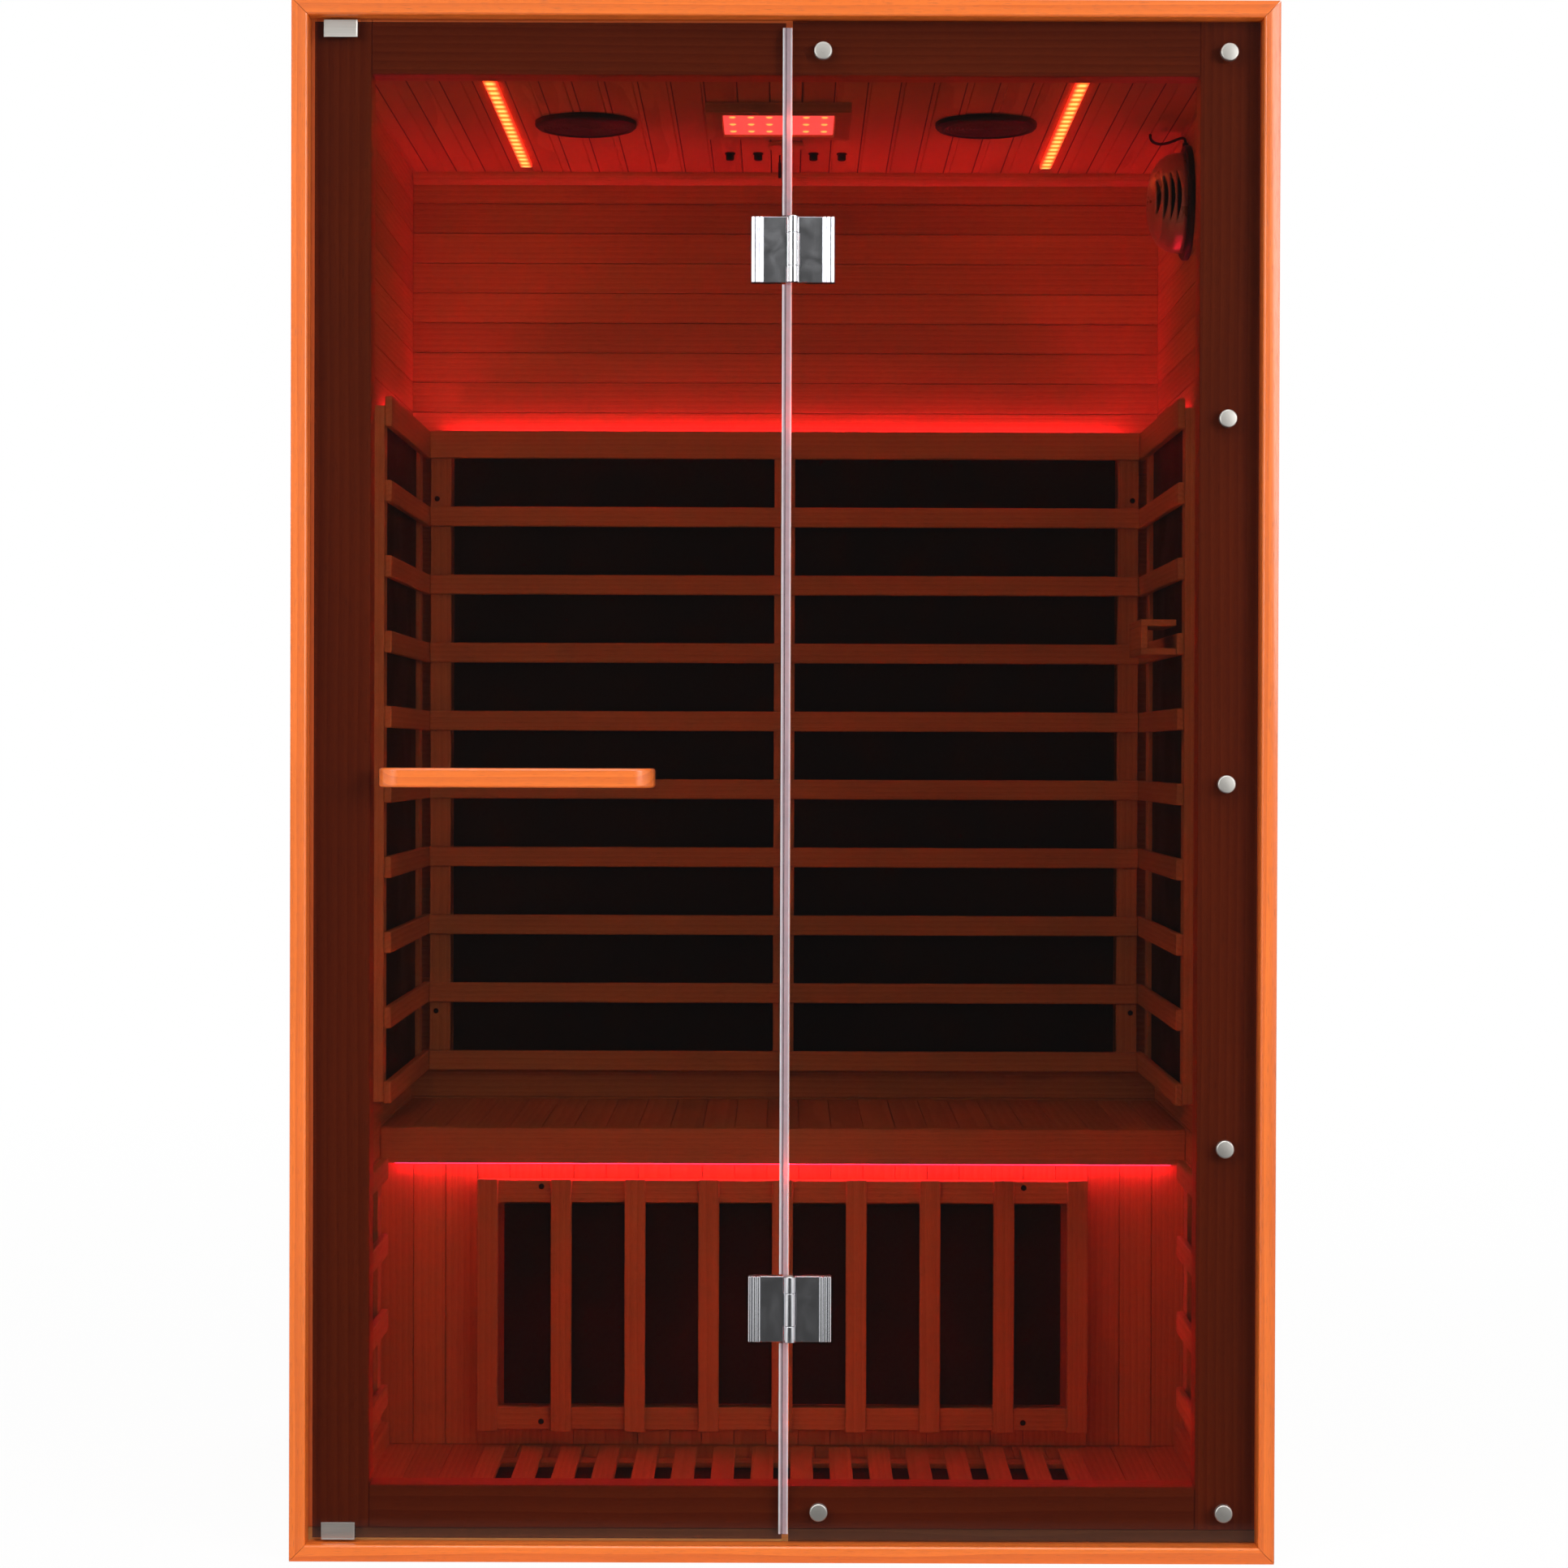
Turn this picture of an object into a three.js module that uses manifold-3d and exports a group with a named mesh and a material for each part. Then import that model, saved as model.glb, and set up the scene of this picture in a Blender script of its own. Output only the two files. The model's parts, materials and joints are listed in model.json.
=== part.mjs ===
// Infrared sauna cabin for two people: a timber box of grooved boards with an all-glass front.
// The left half of the front is a glass door, hung on two glass-to-glass hinges beside the fixed pane.
// Millimetres. +X to the right, +Y to the back, +Z up. The origin is the middle of the floor's underside.
import * as THREE from "three";
import { mergeVertices } from "three/addons/utils/BufferGeometryUtils.js";
import Module from "manifold-3d";

const wasm = await Module();
wasm.setup();

// Overall sizes, over the walls, the roof and the front mouldings
const cabinWidth = 1200;
const cabinDepth = 1000;
const cabinHeight = 1900;

// Clearances
const seat = 0.3; // between pieces that rest on or stand against each other
const running = 0.3; // round a pin or a screw
const overcut = 1; // how far a cutting shape runs past the face that it cuts
const rooted = 1; // how far a joined shape runs into the one that it grows from

// Facets of round pieces
const roundSides = 14; // bars, studs and holes
const discSides = 28; // speakers, vent and ioniser
const handleArcSteps = 6;
const domeSteps = 7;

// Panels of grooved boards
const wallThickness = 40;
const floorThickness = 20;
const boardPitch = 45;
const grooveWidth = 3;
const grooveDepth = 2;

// Roof: a tray of ceiling boards with a rim, under a thin cover
const roofThickness = 44;
const ceilingThickness = 12;
const roofRimWidth = 40;
const roofCoverThickness = 8;

// Front frame and the mitred mouldings round it
const frameThickness = 40;
const postWidth = 94;
const headerHeight = 87;
const frontRailHeight = 35;
const sillTop = 88;
const trimFace = 20;
const trimProjection = 30;

// Glass front
const glassThickness = 8;
const glassStandOff = 3; // from the front frame
const doorEdgeX = 0; // the hinge edge of the door
const glassGap = 8; // between the door and the fixed pane
const doorSideReveal = 6;
const doorEndReveal = 5;
const paneReveal = 2;

// Stainless fixings of the fixed pane
const fixingHeadRadius = 11;
const fixingHeadThickness = 6;
const fixingHeadBevel = 1;
const fixingShankRadius = 5;
const fixingCollarRadius = 8.5;
const fixingScrewRadius = 3;
const fixingScrewLength = 28;
const fixingFromEnd = 37; // from the pane's top and bottom edges, at the header
const fixingFromSill = 36;
const fixingFromSide = 38;
const fixingFromGap = 37;
const fixingsOnPost = 5;

// Glass-to-glass hinges
const hingeAxisX = 9;
const barrelRadius = 7;
const hingePinRadius = 3;
const hingeHeight = 80;
const hingeReach = 51; // from the axis to a leaf's outer edge
const leafThickness = 4;
const leafGap = 0.7; // between a leaf and the other leaf's knuckles
const leafRibWidth = 15;
const leafRibRise = 1.5;
const doorKnuckle = 40;
const hingeStudRadius = 5;
const hingeStudReach = 28;
const hingeStudSpacing = 44;
const hingeBackPlateInset = 14;
const pinHeadRadius = 4.5;
const pinHeadThickness = 1.2;
const upperHingeFromTop = 276;
const lowerHingeFromBottom = 282;

// Clear seal strip on the door's hinge edge
const sealLegThickness = 1.2;
const sealLegWidth = 4;
const sealEndInset = 6;
const sealGap = 0.5; // to the fixed pane
const sealHingeGap = 2; // between the strip's legs and a hinge

// Bar handle
const handleLength = 333;
const handleHeight = 23.5;
const handleBarDepth = 22;
const handleFingerGap = 35;
const handleEndWidth = 26;
const handleOuterRadius = 26;
const handleInnerRadius = 12;
const handleFromEdge = 84;
const handleCentreZ = 955;
const handleStudRadius = 4;
const handleNutRadius = 9;
const handleNutThickness = 6;

// Catch strikes on the door's free corners
const strikeLength = 41;
const strikeHeight = 21;
const strikeThickness = 2;
const strikeFromEdge = 11;
const strikeBackHeight = 16;

// Bench
const benchTop = 465;
const benchDepth = 388;
const benchThickness = 20;
const fasciaHeight = 50;
const fasciaThickness = 14;
const fasciaGap = 6; // to the front panel
const benchPanelThickness = 20;

// Slatted grilles and the heater panels behind them
const heaterThickness = 13;
const bearerDepth = 19;
const bearerWidth = 31;
const slatThickness = 10;
const slatLap = 2; // of a slat into its bearers
const slatHeight = 29.5;
const slatPitch = 101.8;
const bearerTopInset = 12.7; // from the top of a grille down to the ends of its bearers
const heaterMargin = 4;
const grilleBottom = 510;
const grilleFromCeiling = 388.8; // down to the top of the top rail
const topRailHeight = 41;
const sideGrilleLength = 505;
const sideFarInset = 35; // from the back end of a side grille to its far bearer
const calfGrilleBottom = 105;
const calfGrilleSlats = 4;
const calfGrilleFromFrame = 30;
const calfGrilleFromBench = 140;
const benchGrilleFromWall = 136;
const benchGrilleBottom = 43;
const benchGrilleHeight = 351;
const benchSlatPitch = 102.6;
const benchSlatWidth = 29;

// Floor heater in a recess of the floor, under a grille of slats that run front to back
const floorGrilleFromWall = 152;
const floorGrilleFromFrame = 116;
const floorGrilleFromBench = 66;
const floorBearerInset = 30; // from the ends of the slats
const floorRecessDepth = 8;
const floorHeaterThickness = 7;
const floorBearerHeight = 7;
const floorBearerWidth = 30;
const floorSlatWidth = 30;
const floorSlatPitch = 52.4;
const floorSlatThickness = 9;
const floorRecessMargin = 3;

// Ceiling fittings
const lightBarWidth = 17;
const lightBarDrop = 6;
const lightBarFromWall = 177;
const lightBarFromBack = 88;
const lightBarFromFrame = 170;
const speakerSpacing = 552;
const speakerFromBack = 408;
const speakerRadius = 70;
const speakerDrop = 11;
const speakerRimDrop = 3.7;
const speakerBevel = 12;
const speakerBodyRadius = 58;
const speakerBodyHeight = 20;
const lampX = -10;
const lampFromBack = 452;
const lampSize = 196;
const lampDrop = 14;
const lampRecess = 152;
const lampRecessDepth = 8;
const ventFromBack = 253;
const ventDiscRadius = 25.5;
const ventDiscThickness = 7;
const ventHoleRadius = 14;
const ventPivotOffset = 19;
const ventScrewRadius = 2.5;
const ventScrewLength = 10;

// Ioniser on the right wall
const ioniserFromBack = 376;
const ioniserFromCeiling = 104;
const ioniserBaseRadius = 79;
const ioniserBaseThickness = 9;
const ioniserCoreRadius = 34;
const ioniserCoreDepth = 22;
const ioniserDomeRadius = 69;
const ioniserDomeDepth = 48;
const ioniserDomeWall = 3;
const ioniserDomeSquareness = 2.6;
const ioniserSlots = 4;
const ioniserSlotWidth = 4.5;
const ioniserSlotPitch = 9;
const ioniserSlotFirst = 8;
const ioniserSlotHeight = 50;
const ioniserSlotReach = 22; // how near to the dome's axis a slot comes
const leadRadius = 2;
const leadHalfSides = 4; // facets on each half of its round section
const leadSteps = 18;
const leadCeilingOffset = 49; // from the wall to where the lead leaves the ceiling
const leadCeilingBehind = 45; // and behind the ioniser
const leadBaseOffset = 5; // from the wall to where it enters the base

// Storage rack on the right-hand slats
const rackReach = 48;
const rackHeight = 48;
const rackLength = 150;
const rackBoard = 9;
const rackSlatsDown = 3; // from the top rail to the slat whose lower edge it lines up with
const rackFromEnd = 8;

// Power unit in the roof space, with its mains inlet under a hole in the roof cover
const powerUnitLength = 300;
const powerUnitWidth = 170;
const powerUnitHeadroom = 6; // under the roof cover
const powerUnitFromBack = 130;
const inletRadius = 15;
const inletRecessRadius = 10;
const inletRecessDepth = 9;
const inletOffset = 100;

// Places that follow from those sizes
const halfWidth = cabinWidth / 2;
const innerX = halfWidth - wallThickness;
const backY = cabinDepth / 2;
const innerBackY = backY - wallThickness;
const trimFrontY = -backY;
const frameFrontY = trimFrontY + trimProjection;
const frameBackY = frameFrontY + frameThickness;
const ceilingZ = cabinHeight - roofThickness;
const cavityZ = ceilingZ + ceilingThickness;
const coverZ = cabinHeight - roofCoverThickness;
const openingX = halfWidth - postWidth;
const headerZ = cabinHeight - headerHeight;
const glassBackY = frameFrontY - glassStandOff;
const glassFrontY = glassBackY - glassThickness;
const doorLeftX = -halfWidth + trimFace + doorSideReveal;
const doorBottomZ = trimFace + doorEndReveal;
const doorTopZ = cabinHeight - trimFace - doorEndReveal;
const paneLeftX = doorEdgeX + glassGap;
const paneRightX = halfWidth - trimFace - paneReveal;
const paneBottomZ = trimFace + paneReveal;
const paneTopZ = cabinHeight - trimFace - paneReveal;
const hingeAxisY = glassFrontY - seat - barrelRadius;
const hingeCentres = { upper: doorTopZ - upperHingeFromTop, lower: doorBottomZ + lowerHingeFromBottom };
const benchFrontY = innerBackY - benchDepth;
const benchPanelY = benchFrontY + fasciaThickness + fasciaGap;
const grilleDepth = bearerDepth + slatThickness;
const grilleTop = ceilingZ - grilleFromCeiling;
const topRailZ = grilleTop - topRailHeight;
const grilleSlats = Math.max(1, Math.round((topRailZ - grilleBottom) / slatPitch)); // below the top rail
const grillePitch = (topRailZ - grilleBottom) / grilleSlats;
const ventY = innerBackY - ventFromBack;
const ventPivotY = ventY - ventPivotOffset;
const ioniserY = innerBackY - ioniserFromBack;
const ioniserZ = ceilingZ - ioniserFromCeiling;
const speakerY = innerBackY - speakerFromBack;
const powerUnitY = innerBackY - powerUnitFromBack;

// Finishes
const finish = (color, roughness, metalness = 0) =>
  new THREE.MeshStandardMaterial({ color, roughness, metalness });
const stainedWood = finish(0xd8742e, 0.4);
const frameWood = finish(0x8a4526, 0.5);
const boardWood = finish(0xa35a36, 0.55);
const slatWood = finish(0xb06a42, 0.55);
const carbon = finish(0x141212, 0.6);
const blackPlastic = finish(0x1b1a1a, 0.5);
const chrome = finish(0xd8d8da, 0.1, 1);
const brushedSteel = finish(0xb9b6b0, 0.35, 1);
const clearPlastic = finish(0xd9d2d4, 0.2);
const lightDiffuser = finish(0xffb02e, 0.4);
const bronzeGlass = finish(0x4a2a1a, 0.05);
bronzeGlass.transparent = true;
bronzeGlass.opacity = 0.5;

// Shapes

// A box between two opposite corners.
function block(cornerA, cornerB) {
  const size = cornerA.map((value, axis) => Math.abs(cornerB[axis] - value));
  const middle = cornerA.map((value, axis) => (cornerB[axis] + value) / 2);
  return new THREE.BoxGeometry(...size).translate(...middle);
}

// A round bar along X, Y or Z. centre holds its other two coordinates, in X, Y, Z order.
function rod(axis, radius, from, to, [first, second], sides = roundSides) {
  const bar = new THREE.CylinderGeometry(radius, radius, Math.abs(to - from), sides);
  const middle = (from + to) / 2;
  if (axis === "x") return bar.rotateZ(-Math.PI / 2).translate(middle, first, second);
  if (axis === "y") return bar.translate(first, middle, second);
  return bar.rotateX(Math.PI / 2).translate(first, second, middle);
}

// What is cut away for a round bar: a bar whose flat sides stay clear of it.
function drill(axis, radius, from, to, centre, sides = roundSides) {
  return rod(axis, (radius + running) / Math.cos(Math.PI / sides), from, to, centre, sides);
}

// A turned piece about the Y axis, from [radius, y] points that start and end on the axis.
function turned(profile, sides = discSides) {
  return new THREE.LatheGeometry(profile.map((point) => new THREE.Vector2(...point)), sides);
}

// A prism of an outline in the XY plane, drawn out along +Z.
function prism(outline, depth, curveSegments = handleArcSteps) {
  const shape = Array.isArray(outline)
    ? new THREE.Shape(outline.map((point) => new THREE.Vector2(...point)))
    : outline;
  return new THREE.ExtrudeGeometry(shape, { depth, curveSegments, bevelEnabled: false });
}

// Turns a prism so that its outline's x and y run along two chosen directions.
function facing(geometry, alongX, alongY) {
  const u = new THREE.Vector3(...alongX);
  const v = new THREE.Vector3(...alongY);
  const w = new THREE.Vector3().crossVectors(u, v);
  return geometry.applyMatrix4(new THREE.Matrix4().makeBasis(u, v, w));
}

// A panel of boards: its outline has a V-groove at each joint of the boards, in the face at y = thickness.
function boards(span, thickness, run) {
  const count = Math.max(1, Math.round(span / boardPitch));
  const outline = [
    [-span / 2, 0],
    [span / 2, 0],
    [span / 2, thickness],
  ];
  for (let joint = count - 1; joint > 0; joint--) {
    const at = span * (joint / count - 0.5);
    outline.push([at + grooveWidth / 2, thickness]);
    outline.push([at, thickness - grooveDepth]);
    outline.push([at - grooveWidth / 2, thickness]);
  }
  outline.push([-span / 2, thickness]);
  return prism(outline, run);
}

// Joins and cuts
function toSolid(geometry) {
  const bare = new THREE.BufferGeometry();
  bare.setAttribute("position", geometry.getAttribute("position"));
  bare.setIndex(geometry.getIndex());
  const { attributes, index } = mergeVertices(bare);
  const triVerts = new Uint32Array(index.array);
  const vertProperties = attributes.position.array;
  return new wasm.Manifold(new wasm.Mesh({ numProp: 3, vertProperties, triVerts }));
}

function toGeometry(solid) {
  const { vertProperties, triVerts } = solid.getMesh();
  const geometry = new THREE.BufferGeometry();
  geometry.setAttribute("position", new THREE.BufferAttribute(vertProperties, 3));
  geometry.setIndex(new THREE.BufferAttribute(triVerts, 1));
  return geometry;
}

function join(...geometries) {
  return toGeometry(geometries.map(toSolid).reduce((whole, next) => whole.add(next)));
}

function cut(geometry, ...tools) {
  return toGeometry(tools.map(toSolid).reduce((whole, tool) => whole.subtract(tool), toSolid(geometry)));
}

// One named piece of the cabin.
function piece(name, geometry, material, position = [0, 0, 0]) {
  const flat = geometry.index ? geometry.toNonIndexed() : geometry;
  flat.computeVertexNormals();
  const mesh = new THREE.Mesh(flat, material);
  mesh.name = name;
  mesh.position.set(...position);
  return mesh;
}

function group(pieces, position = [0, 0, 0], turn = 0) {
  const made = new THREE.Group();
  made.position.set(...position);
  made.rotation.z = turn;
  made.add(...pieces);
  return made;
}

// Floor, walls and roof

const floorGrilleBackY = benchFrontY - floorGrilleFromBench;
const floorGrilleFrontY = frameBackY + floorGrilleFromFrame;
const floorGrilleHalf = innerX - floorGrilleFromWall;
const floorRecessZ = floorThickness - floorRecessDepth;

function floorPanel() {
  const top = boards(cabinWidth, floorThickness, backY - frameFrontY);
  const laid = facing(top, [1, 0, 0], [0, 0, 1]).translate(0, backY, 0);
  const rail = block([-halfWidth, frameFrontY, 0], [halfWidth, frameBackY, frontRailHeight]);
  const recess = block(
    [-floorGrilleHalf - floorRecessMargin, floorGrilleFrontY - floorRecessMargin, floorRecessZ],
    [floorGrilleHalf + floorRecessMargin, floorGrilleBackY + floorRecessMargin, 2 * floorThickness],
  );
  return piece("floor_panel", cut(join(laid, rail), recess), boardWood);
}

const wallBottomZ = floorThickness + seat;
const wallHeight = ceilingZ - seat - wallBottomZ;
const wallMiddleZ = wallBottomZ + wallHeight / 2;
const sideWallFrontY = frameBackY + seat;

function walls() {
  const sideRun = backY - sideWallFrontY;
  const left = facing(boards(wallHeight, wallThickness, sideRun), [0, 0, 1], [1, 0, 0]);
  const right = facing(boards(wallHeight, wallThickness, sideRun), [0, 0, 1], [-1, 0, 0]);
  const backRun = 2 * (innerX - seat);
  const back = facing(boards(wallHeight, wallThickness, backRun), [0, 0, 1], [0, -1, 0]);
  return [
    piece("left_wall", left, boardWood, [-halfWidth, sideWallFrontY, wallMiddleZ]),
    piece("right_wall", right, boardWood, [halfWidth, backY, wallMiddleZ]),
    piece("back_wall", back, boardWood, [-backRun / 2, backY, wallMiddleZ]),
  ];
}

const rimTop = coverZ - seat;
const inletPlace = [inletOffset, powerUnitY];

function roof() {
  const run = backY - sideWallFrontY;
  const ceiling = facing(boards(cabinWidth, ceilingThickness, run), [1, 0, 0], [0, 0, -1]);
  ceiling.translate(0, sideWallFrontY, cavityZ);
  const innerRim = halfWidth - roofRimWidth;
  const rim = cut(
    block([-halfWidth, sideWallFrontY, cavityZ - ceilingThickness / 2], [halfWidth, backY, rimTop]),
    block(
      [-innerRim, sideWallFrontY + roofRimWidth, 0],
      [innerRim, backY - roofRimWidth, 2 * cabinHeight],
    ),
  );
  const through = [ceilingZ - overcut, cavityZ + overcut];
  const speakerHoles = [-1, 1].map((side) =>
    drill("z", speakerBodyRadius, ...through, [(side * speakerSpacing) / 2, speakerY], discSides),
  );
  const ventHole = rod("z", ventHoleRadius, ...through, [0, ventY]);
  const ventScrewHole = drill("z", ventScrewRadius, ...through, [0, ventPivotY]);
  const cover = block([-halfWidth, sideWallFrontY, coverZ], [halfWidth, backY, cabinHeight]);
  const above = [coverZ - overcut, cabinHeight + overcut];
  const inletHole = drill("z", inletRadius, ...above, inletPlace);
  const ventOutlet = rod("z", ventHoleRadius, ...above, [0, ventY]);
  const tray = cut(join(ceiling, rim), ...speakerHoles, ventHole, ventScrewHole);
  return [
    piece("ceiling_panel", tray, boardWood),
    piece("roof_cover", cut(cover, inletHole, ventOutlet), frameWood),
    powerUnit(),
  ];
}

function powerUnit() {
  const bottom = cavityZ + seat;
  const height = coverZ - powerUnitHeadroom - cavityZ;
  const casing = block(
    [-powerUnitLength / 2, powerUnitY - powerUnitWidth / 2, bottom],
    [powerUnitLength / 2, powerUnitY + powerUnitWidth / 2, bottom + height],
  );
  const inletTop = cabinHeight - seat;
  const inlet = rod("z", inletRadius, bottom + height / 2, inletTop, inletPlace);
  const socket = rod("z", inletRecessRadius, inletTop - inletRecessDepth, inletTop + overcut, inletPlace);
  return piece("power_unit", cut(join(casing, inlet), socket), blackPlastic);
}

// Front frame, mouldings and glass

const fixingTopZ = paneTopZ - fixingFromEnd;
const fixingBottomZ = paneBottomZ + fixingFromSill;
const fixingSideX = paneRightX - fixingFromSide;
const fixingGapX = paneLeftX + fixingFromGap;

function fixingPlaces() {
  const step = (fixingTopZ - fixingBottomZ) / (fixingsOnPost - 1);
  const onPost = Array.from({ length: fixingsOnPost }, (_, i) => [fixingSideX, fixingTopZ - i * step]);
  return [[fixingGapX, fixingTopZ], ...onPost, [fixingGapX, fixingBottomZ]];
}

function frontFrame() {
  const depth = (z0, z1, x0, x1) => block([x0, frameFrontY, z0], [x1, frameBackY, z1]);
  const bottom = frontRailHeight + seat;
  const railHalf = openingX - seat;
  const holeRun = [frameFrontY - overcut, frameFrontY + fixingScrewLength];
  const screwHoles = (inside) =>
    fixingPlaces()
      .filter(([x, z]) => inside(x, z))
      .map((place) => drill("y", fixingScrewRadius, ...holeRun, place));
  const rightPost = depth(bottom, cabinHeight, openingX, halfWidth);
  const header = depth(headerZ, cabinHeight, -railHalf, railHalf);
  const sill = depth(bottom, sillTop, -railHalf, railHalf);
  const overOpening = (x) => x < openingX;
  const highUp = (z) => z > cabinHeight / 2;
  return [
    piece("front_left_post", depth(bottom, cabinHeight, -halfWidth, -openingX), frameWood),
    piece("front_right_post", cut(rightPost, ...screwHoles((x) => !overOpening(x))), frameWood),
    piece("front_header", cut(header, ...screwHoles((x, z) => overOpening(x) && highUp(z))), frameWood),
    piece("front_sill", cut(sill, ...screwHoles((x, z) => overOpening(x) && !highUp(z))), frameWood),
  ];
}

// One moulding: its back edge is the outside of the cabin, and both ends are mitred.
function moulding(length) {
  const outer = length / 2 - seat;
  const inner = outer - trimFace;
  const outline = [
    [-outer, 0],
    [outer, 0],
    [inner, trimFace],
    [-inner, trimFace],
  ];
  return prism(outline, trimProjection - seat);
}

function mouldings() {
  const middleZ = cabinHeight / 2;
  const bottom = facing(moulding(cabinWidth), [1, 0, 0], [0, 0, 1]);
  const top = facing(moulding(cabinWidth), [-1, 0, 0], [0, 0, -1]);
  const left = facing(moulding(cabinHeight), [0, 0, -1], [1, 0, 0]);
  const right = facing(moulding(cabinHeight), [0, 0, 1], [-1, 0, 0]);
  const y = frameFrontY - seat;
  return [
    piece("trim_bottom", bottom, stainedWood, [0, y, 0]),
    piece("trim_top", top, stainedWood, [0, y, cabinHeight]),
    piece("trim_left", left, stainedWood, [-halfWidth, y, middleZ]),
    piece("trim_right", right, stainedWood, [halfWidth, y, middleZ]),
  ];
}

// The two studs of each hinge leaf on one pane. side is -1 for the door and 1 for the fixed pane.
function hingeStudPlaces(side) {
  const x = hingeAxisX + side * hingeStudReach;
  return Object.values(hingeCentres).flatMap((z) => [
    [x, z - hingeStudSpacing / 2],
    [x, z + hingeStudSpacing / 2],
  ]);
}

const handleStartX = doorLeftX + handleFromEdge;
const handleStudPlaces = [
  [handleStartX + handleEndWidth / 2, handleCentreZ],
  [handleStartX + handleLength - handleEndWidth / 2, handleCentreZ],
];

function pane(name, left, right, bottom, top, holes) {
  const sheet = block([left, glassFrontY, bottom], [right, glassBackY, top]);
  const drills = holes.map(([radius, place]) =>
    drill("y", radius, glassFrontY - overcut, glassBackY + overcut, place),
  );
  return piece(name, cut(sheet, ...drills), bronzeGlass);
}

function fixedPane() {
  const holes = [
    ...fixingPlaces().map((place) => [fixingShankRadius, place]),
    ...hingeStudPlaces(1).map((place) => [hingeStudRadius, place]),
  ];
  return pane("fixed_glass", paneLeftX, paneRightX, paneBottomZ, paneTopZ, holes);
}

function doorPane() {
  const holes = [
    ...hingeStudPlaces(-1).map((place) => [hingeStudRadius, place]),
    ...handleStudPlaces.map((place) => [handleStudRadius, place]),
  ];
  return pane("door_glass", doorLeftX, doorEdgeX, doorBottomZ, doorTopZ, holes);
}

// Head in front of the glass, shank through it, collar behind it and screw into the frame.
function glassFixings() {
  const headBack = glassFrontY - seat;
  const collarFront = glassBackY + seat;
  const collarBack = frameFrontY - seat;
  const profile = [
    [0, headBack - fixingHeadThickness],
    [fixingHeadRadius - fixingHeadBevel, headBack - fixingHeadThickness],
    [fixingHeadRadius, headBack - fixingHeadThickness + fixingHeadBevel],
    [fixingHeadRadius, headBack],
    [fixingShankRadius, headBack],
    [fixingShankRadius, collarFront],
    [fixingCollarRadius, collarFront],
    [fixingCollarRadius, collarBack],
    [fixingScrewRadius, collarBack],
    [fixingScrewRadius, frameFrontY + fixingScrewLength - seat],
    [0, frameFrontY + fixingScrewLength - seat],
  ];
  return fixingPlaces().map(([x, z], i) =>
    piece(`glass_fixing_${i + 1}`, turned(profile, roundSides), brushedSteel, [x, 0, z]),
  );
}

// Door, with everything that swings on the hinge axis, and the hinges' fixed half

// A hinge leaf about its own axis: front plate, knuckles, studs through the glass and back plate.
// side is -1 for the door's leaf and 1 for the pane's.
function hingeLeaf(side, knuckles) {
  const half = hingeHeight / 2;
  const glassFront = barrelRadius + seat;
  const plateBack = glassFront - seat;
  const plateFront = plateBack - leafThickness;
  const glassBack = glassFront + glassThickness;
  const plateStart = side * (barrelRadius + leafGap);
  const ribStart = side * (hingeReach - leafRibWidth);
  const plate = block([plateStart, plateFront, -half], [side * hingeReach, plateBack, half]);
  const rib = block([ribStart, plateFront - leafRibRise, -half], [side * hingeReach, plateBack, half]);
  const ridge = block(
    [ribStart + side * leafRibRise, plateFront - 2 * leafRibRise, -half],
    [ribStart + (side * leafRibWidth) / 2, plateBack, half],
  );
  const backPlate = block(
    [side * hingeBackPlateInset, glassBack + seat, -half],
    [side * hingeReach, glassBack + seat + leafThickness, half],
  );
  const studs = [-1, 1].map((end) =>
    rod(
      "y",
      hingeStudRadius,
      plateFront + rooted,
      glassBack + seat + rooted,
      [side * hingeStudReach, (end * hingeStudSpacing) / 2],
    ),
  );
  const barrels = knuckles.flatMap(([low, high]) => [
    rod("z", barrelRadius, low, high, [0, 0]),
    block([0, plateFront, low], [plateStart + side * rooted, plateBack, high]),
  ]);
  const bore = drill("z", hingePinRadius, -hingeHeight, hingeHeight, [0, 0]);
  return cut(join(plate, rib, ridge, backPlate, ...studs, ...barrels), bore);
}

function hingePin() {
  const half = hingeHeight / 2;
  const shaft = rod("z", hingePinRadius, -half, half + pinHeadThickness, [0, 0]);
  const head = rod("z", pinHeadRadius, half + seat, half + seat + pinHeadThickness, [0, 0]);
  return join(shaft, head);
}

const halfKnuckle = doorKnuckle / 2;

function fixedHingeHalves() {
  const knuckles = [
    [-hingeHeight / 2, -halfKnuckle - seat],
    [halfKnuckle + seat, hingeHeight / 2],
  ];
  return Object.entries(hingeCentres).map(([name, z]) =>
    group(
      [
        piece(`${name}_hinge_panel_leaf`, hingeLeaf(1, knuckles), chrome),
        piece(`${name}_hinge_pin`, hingePin(), brushedSteel),
      ],
      [hingeAxisX, hingeAxisY, z],
    ),
  );
}

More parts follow.
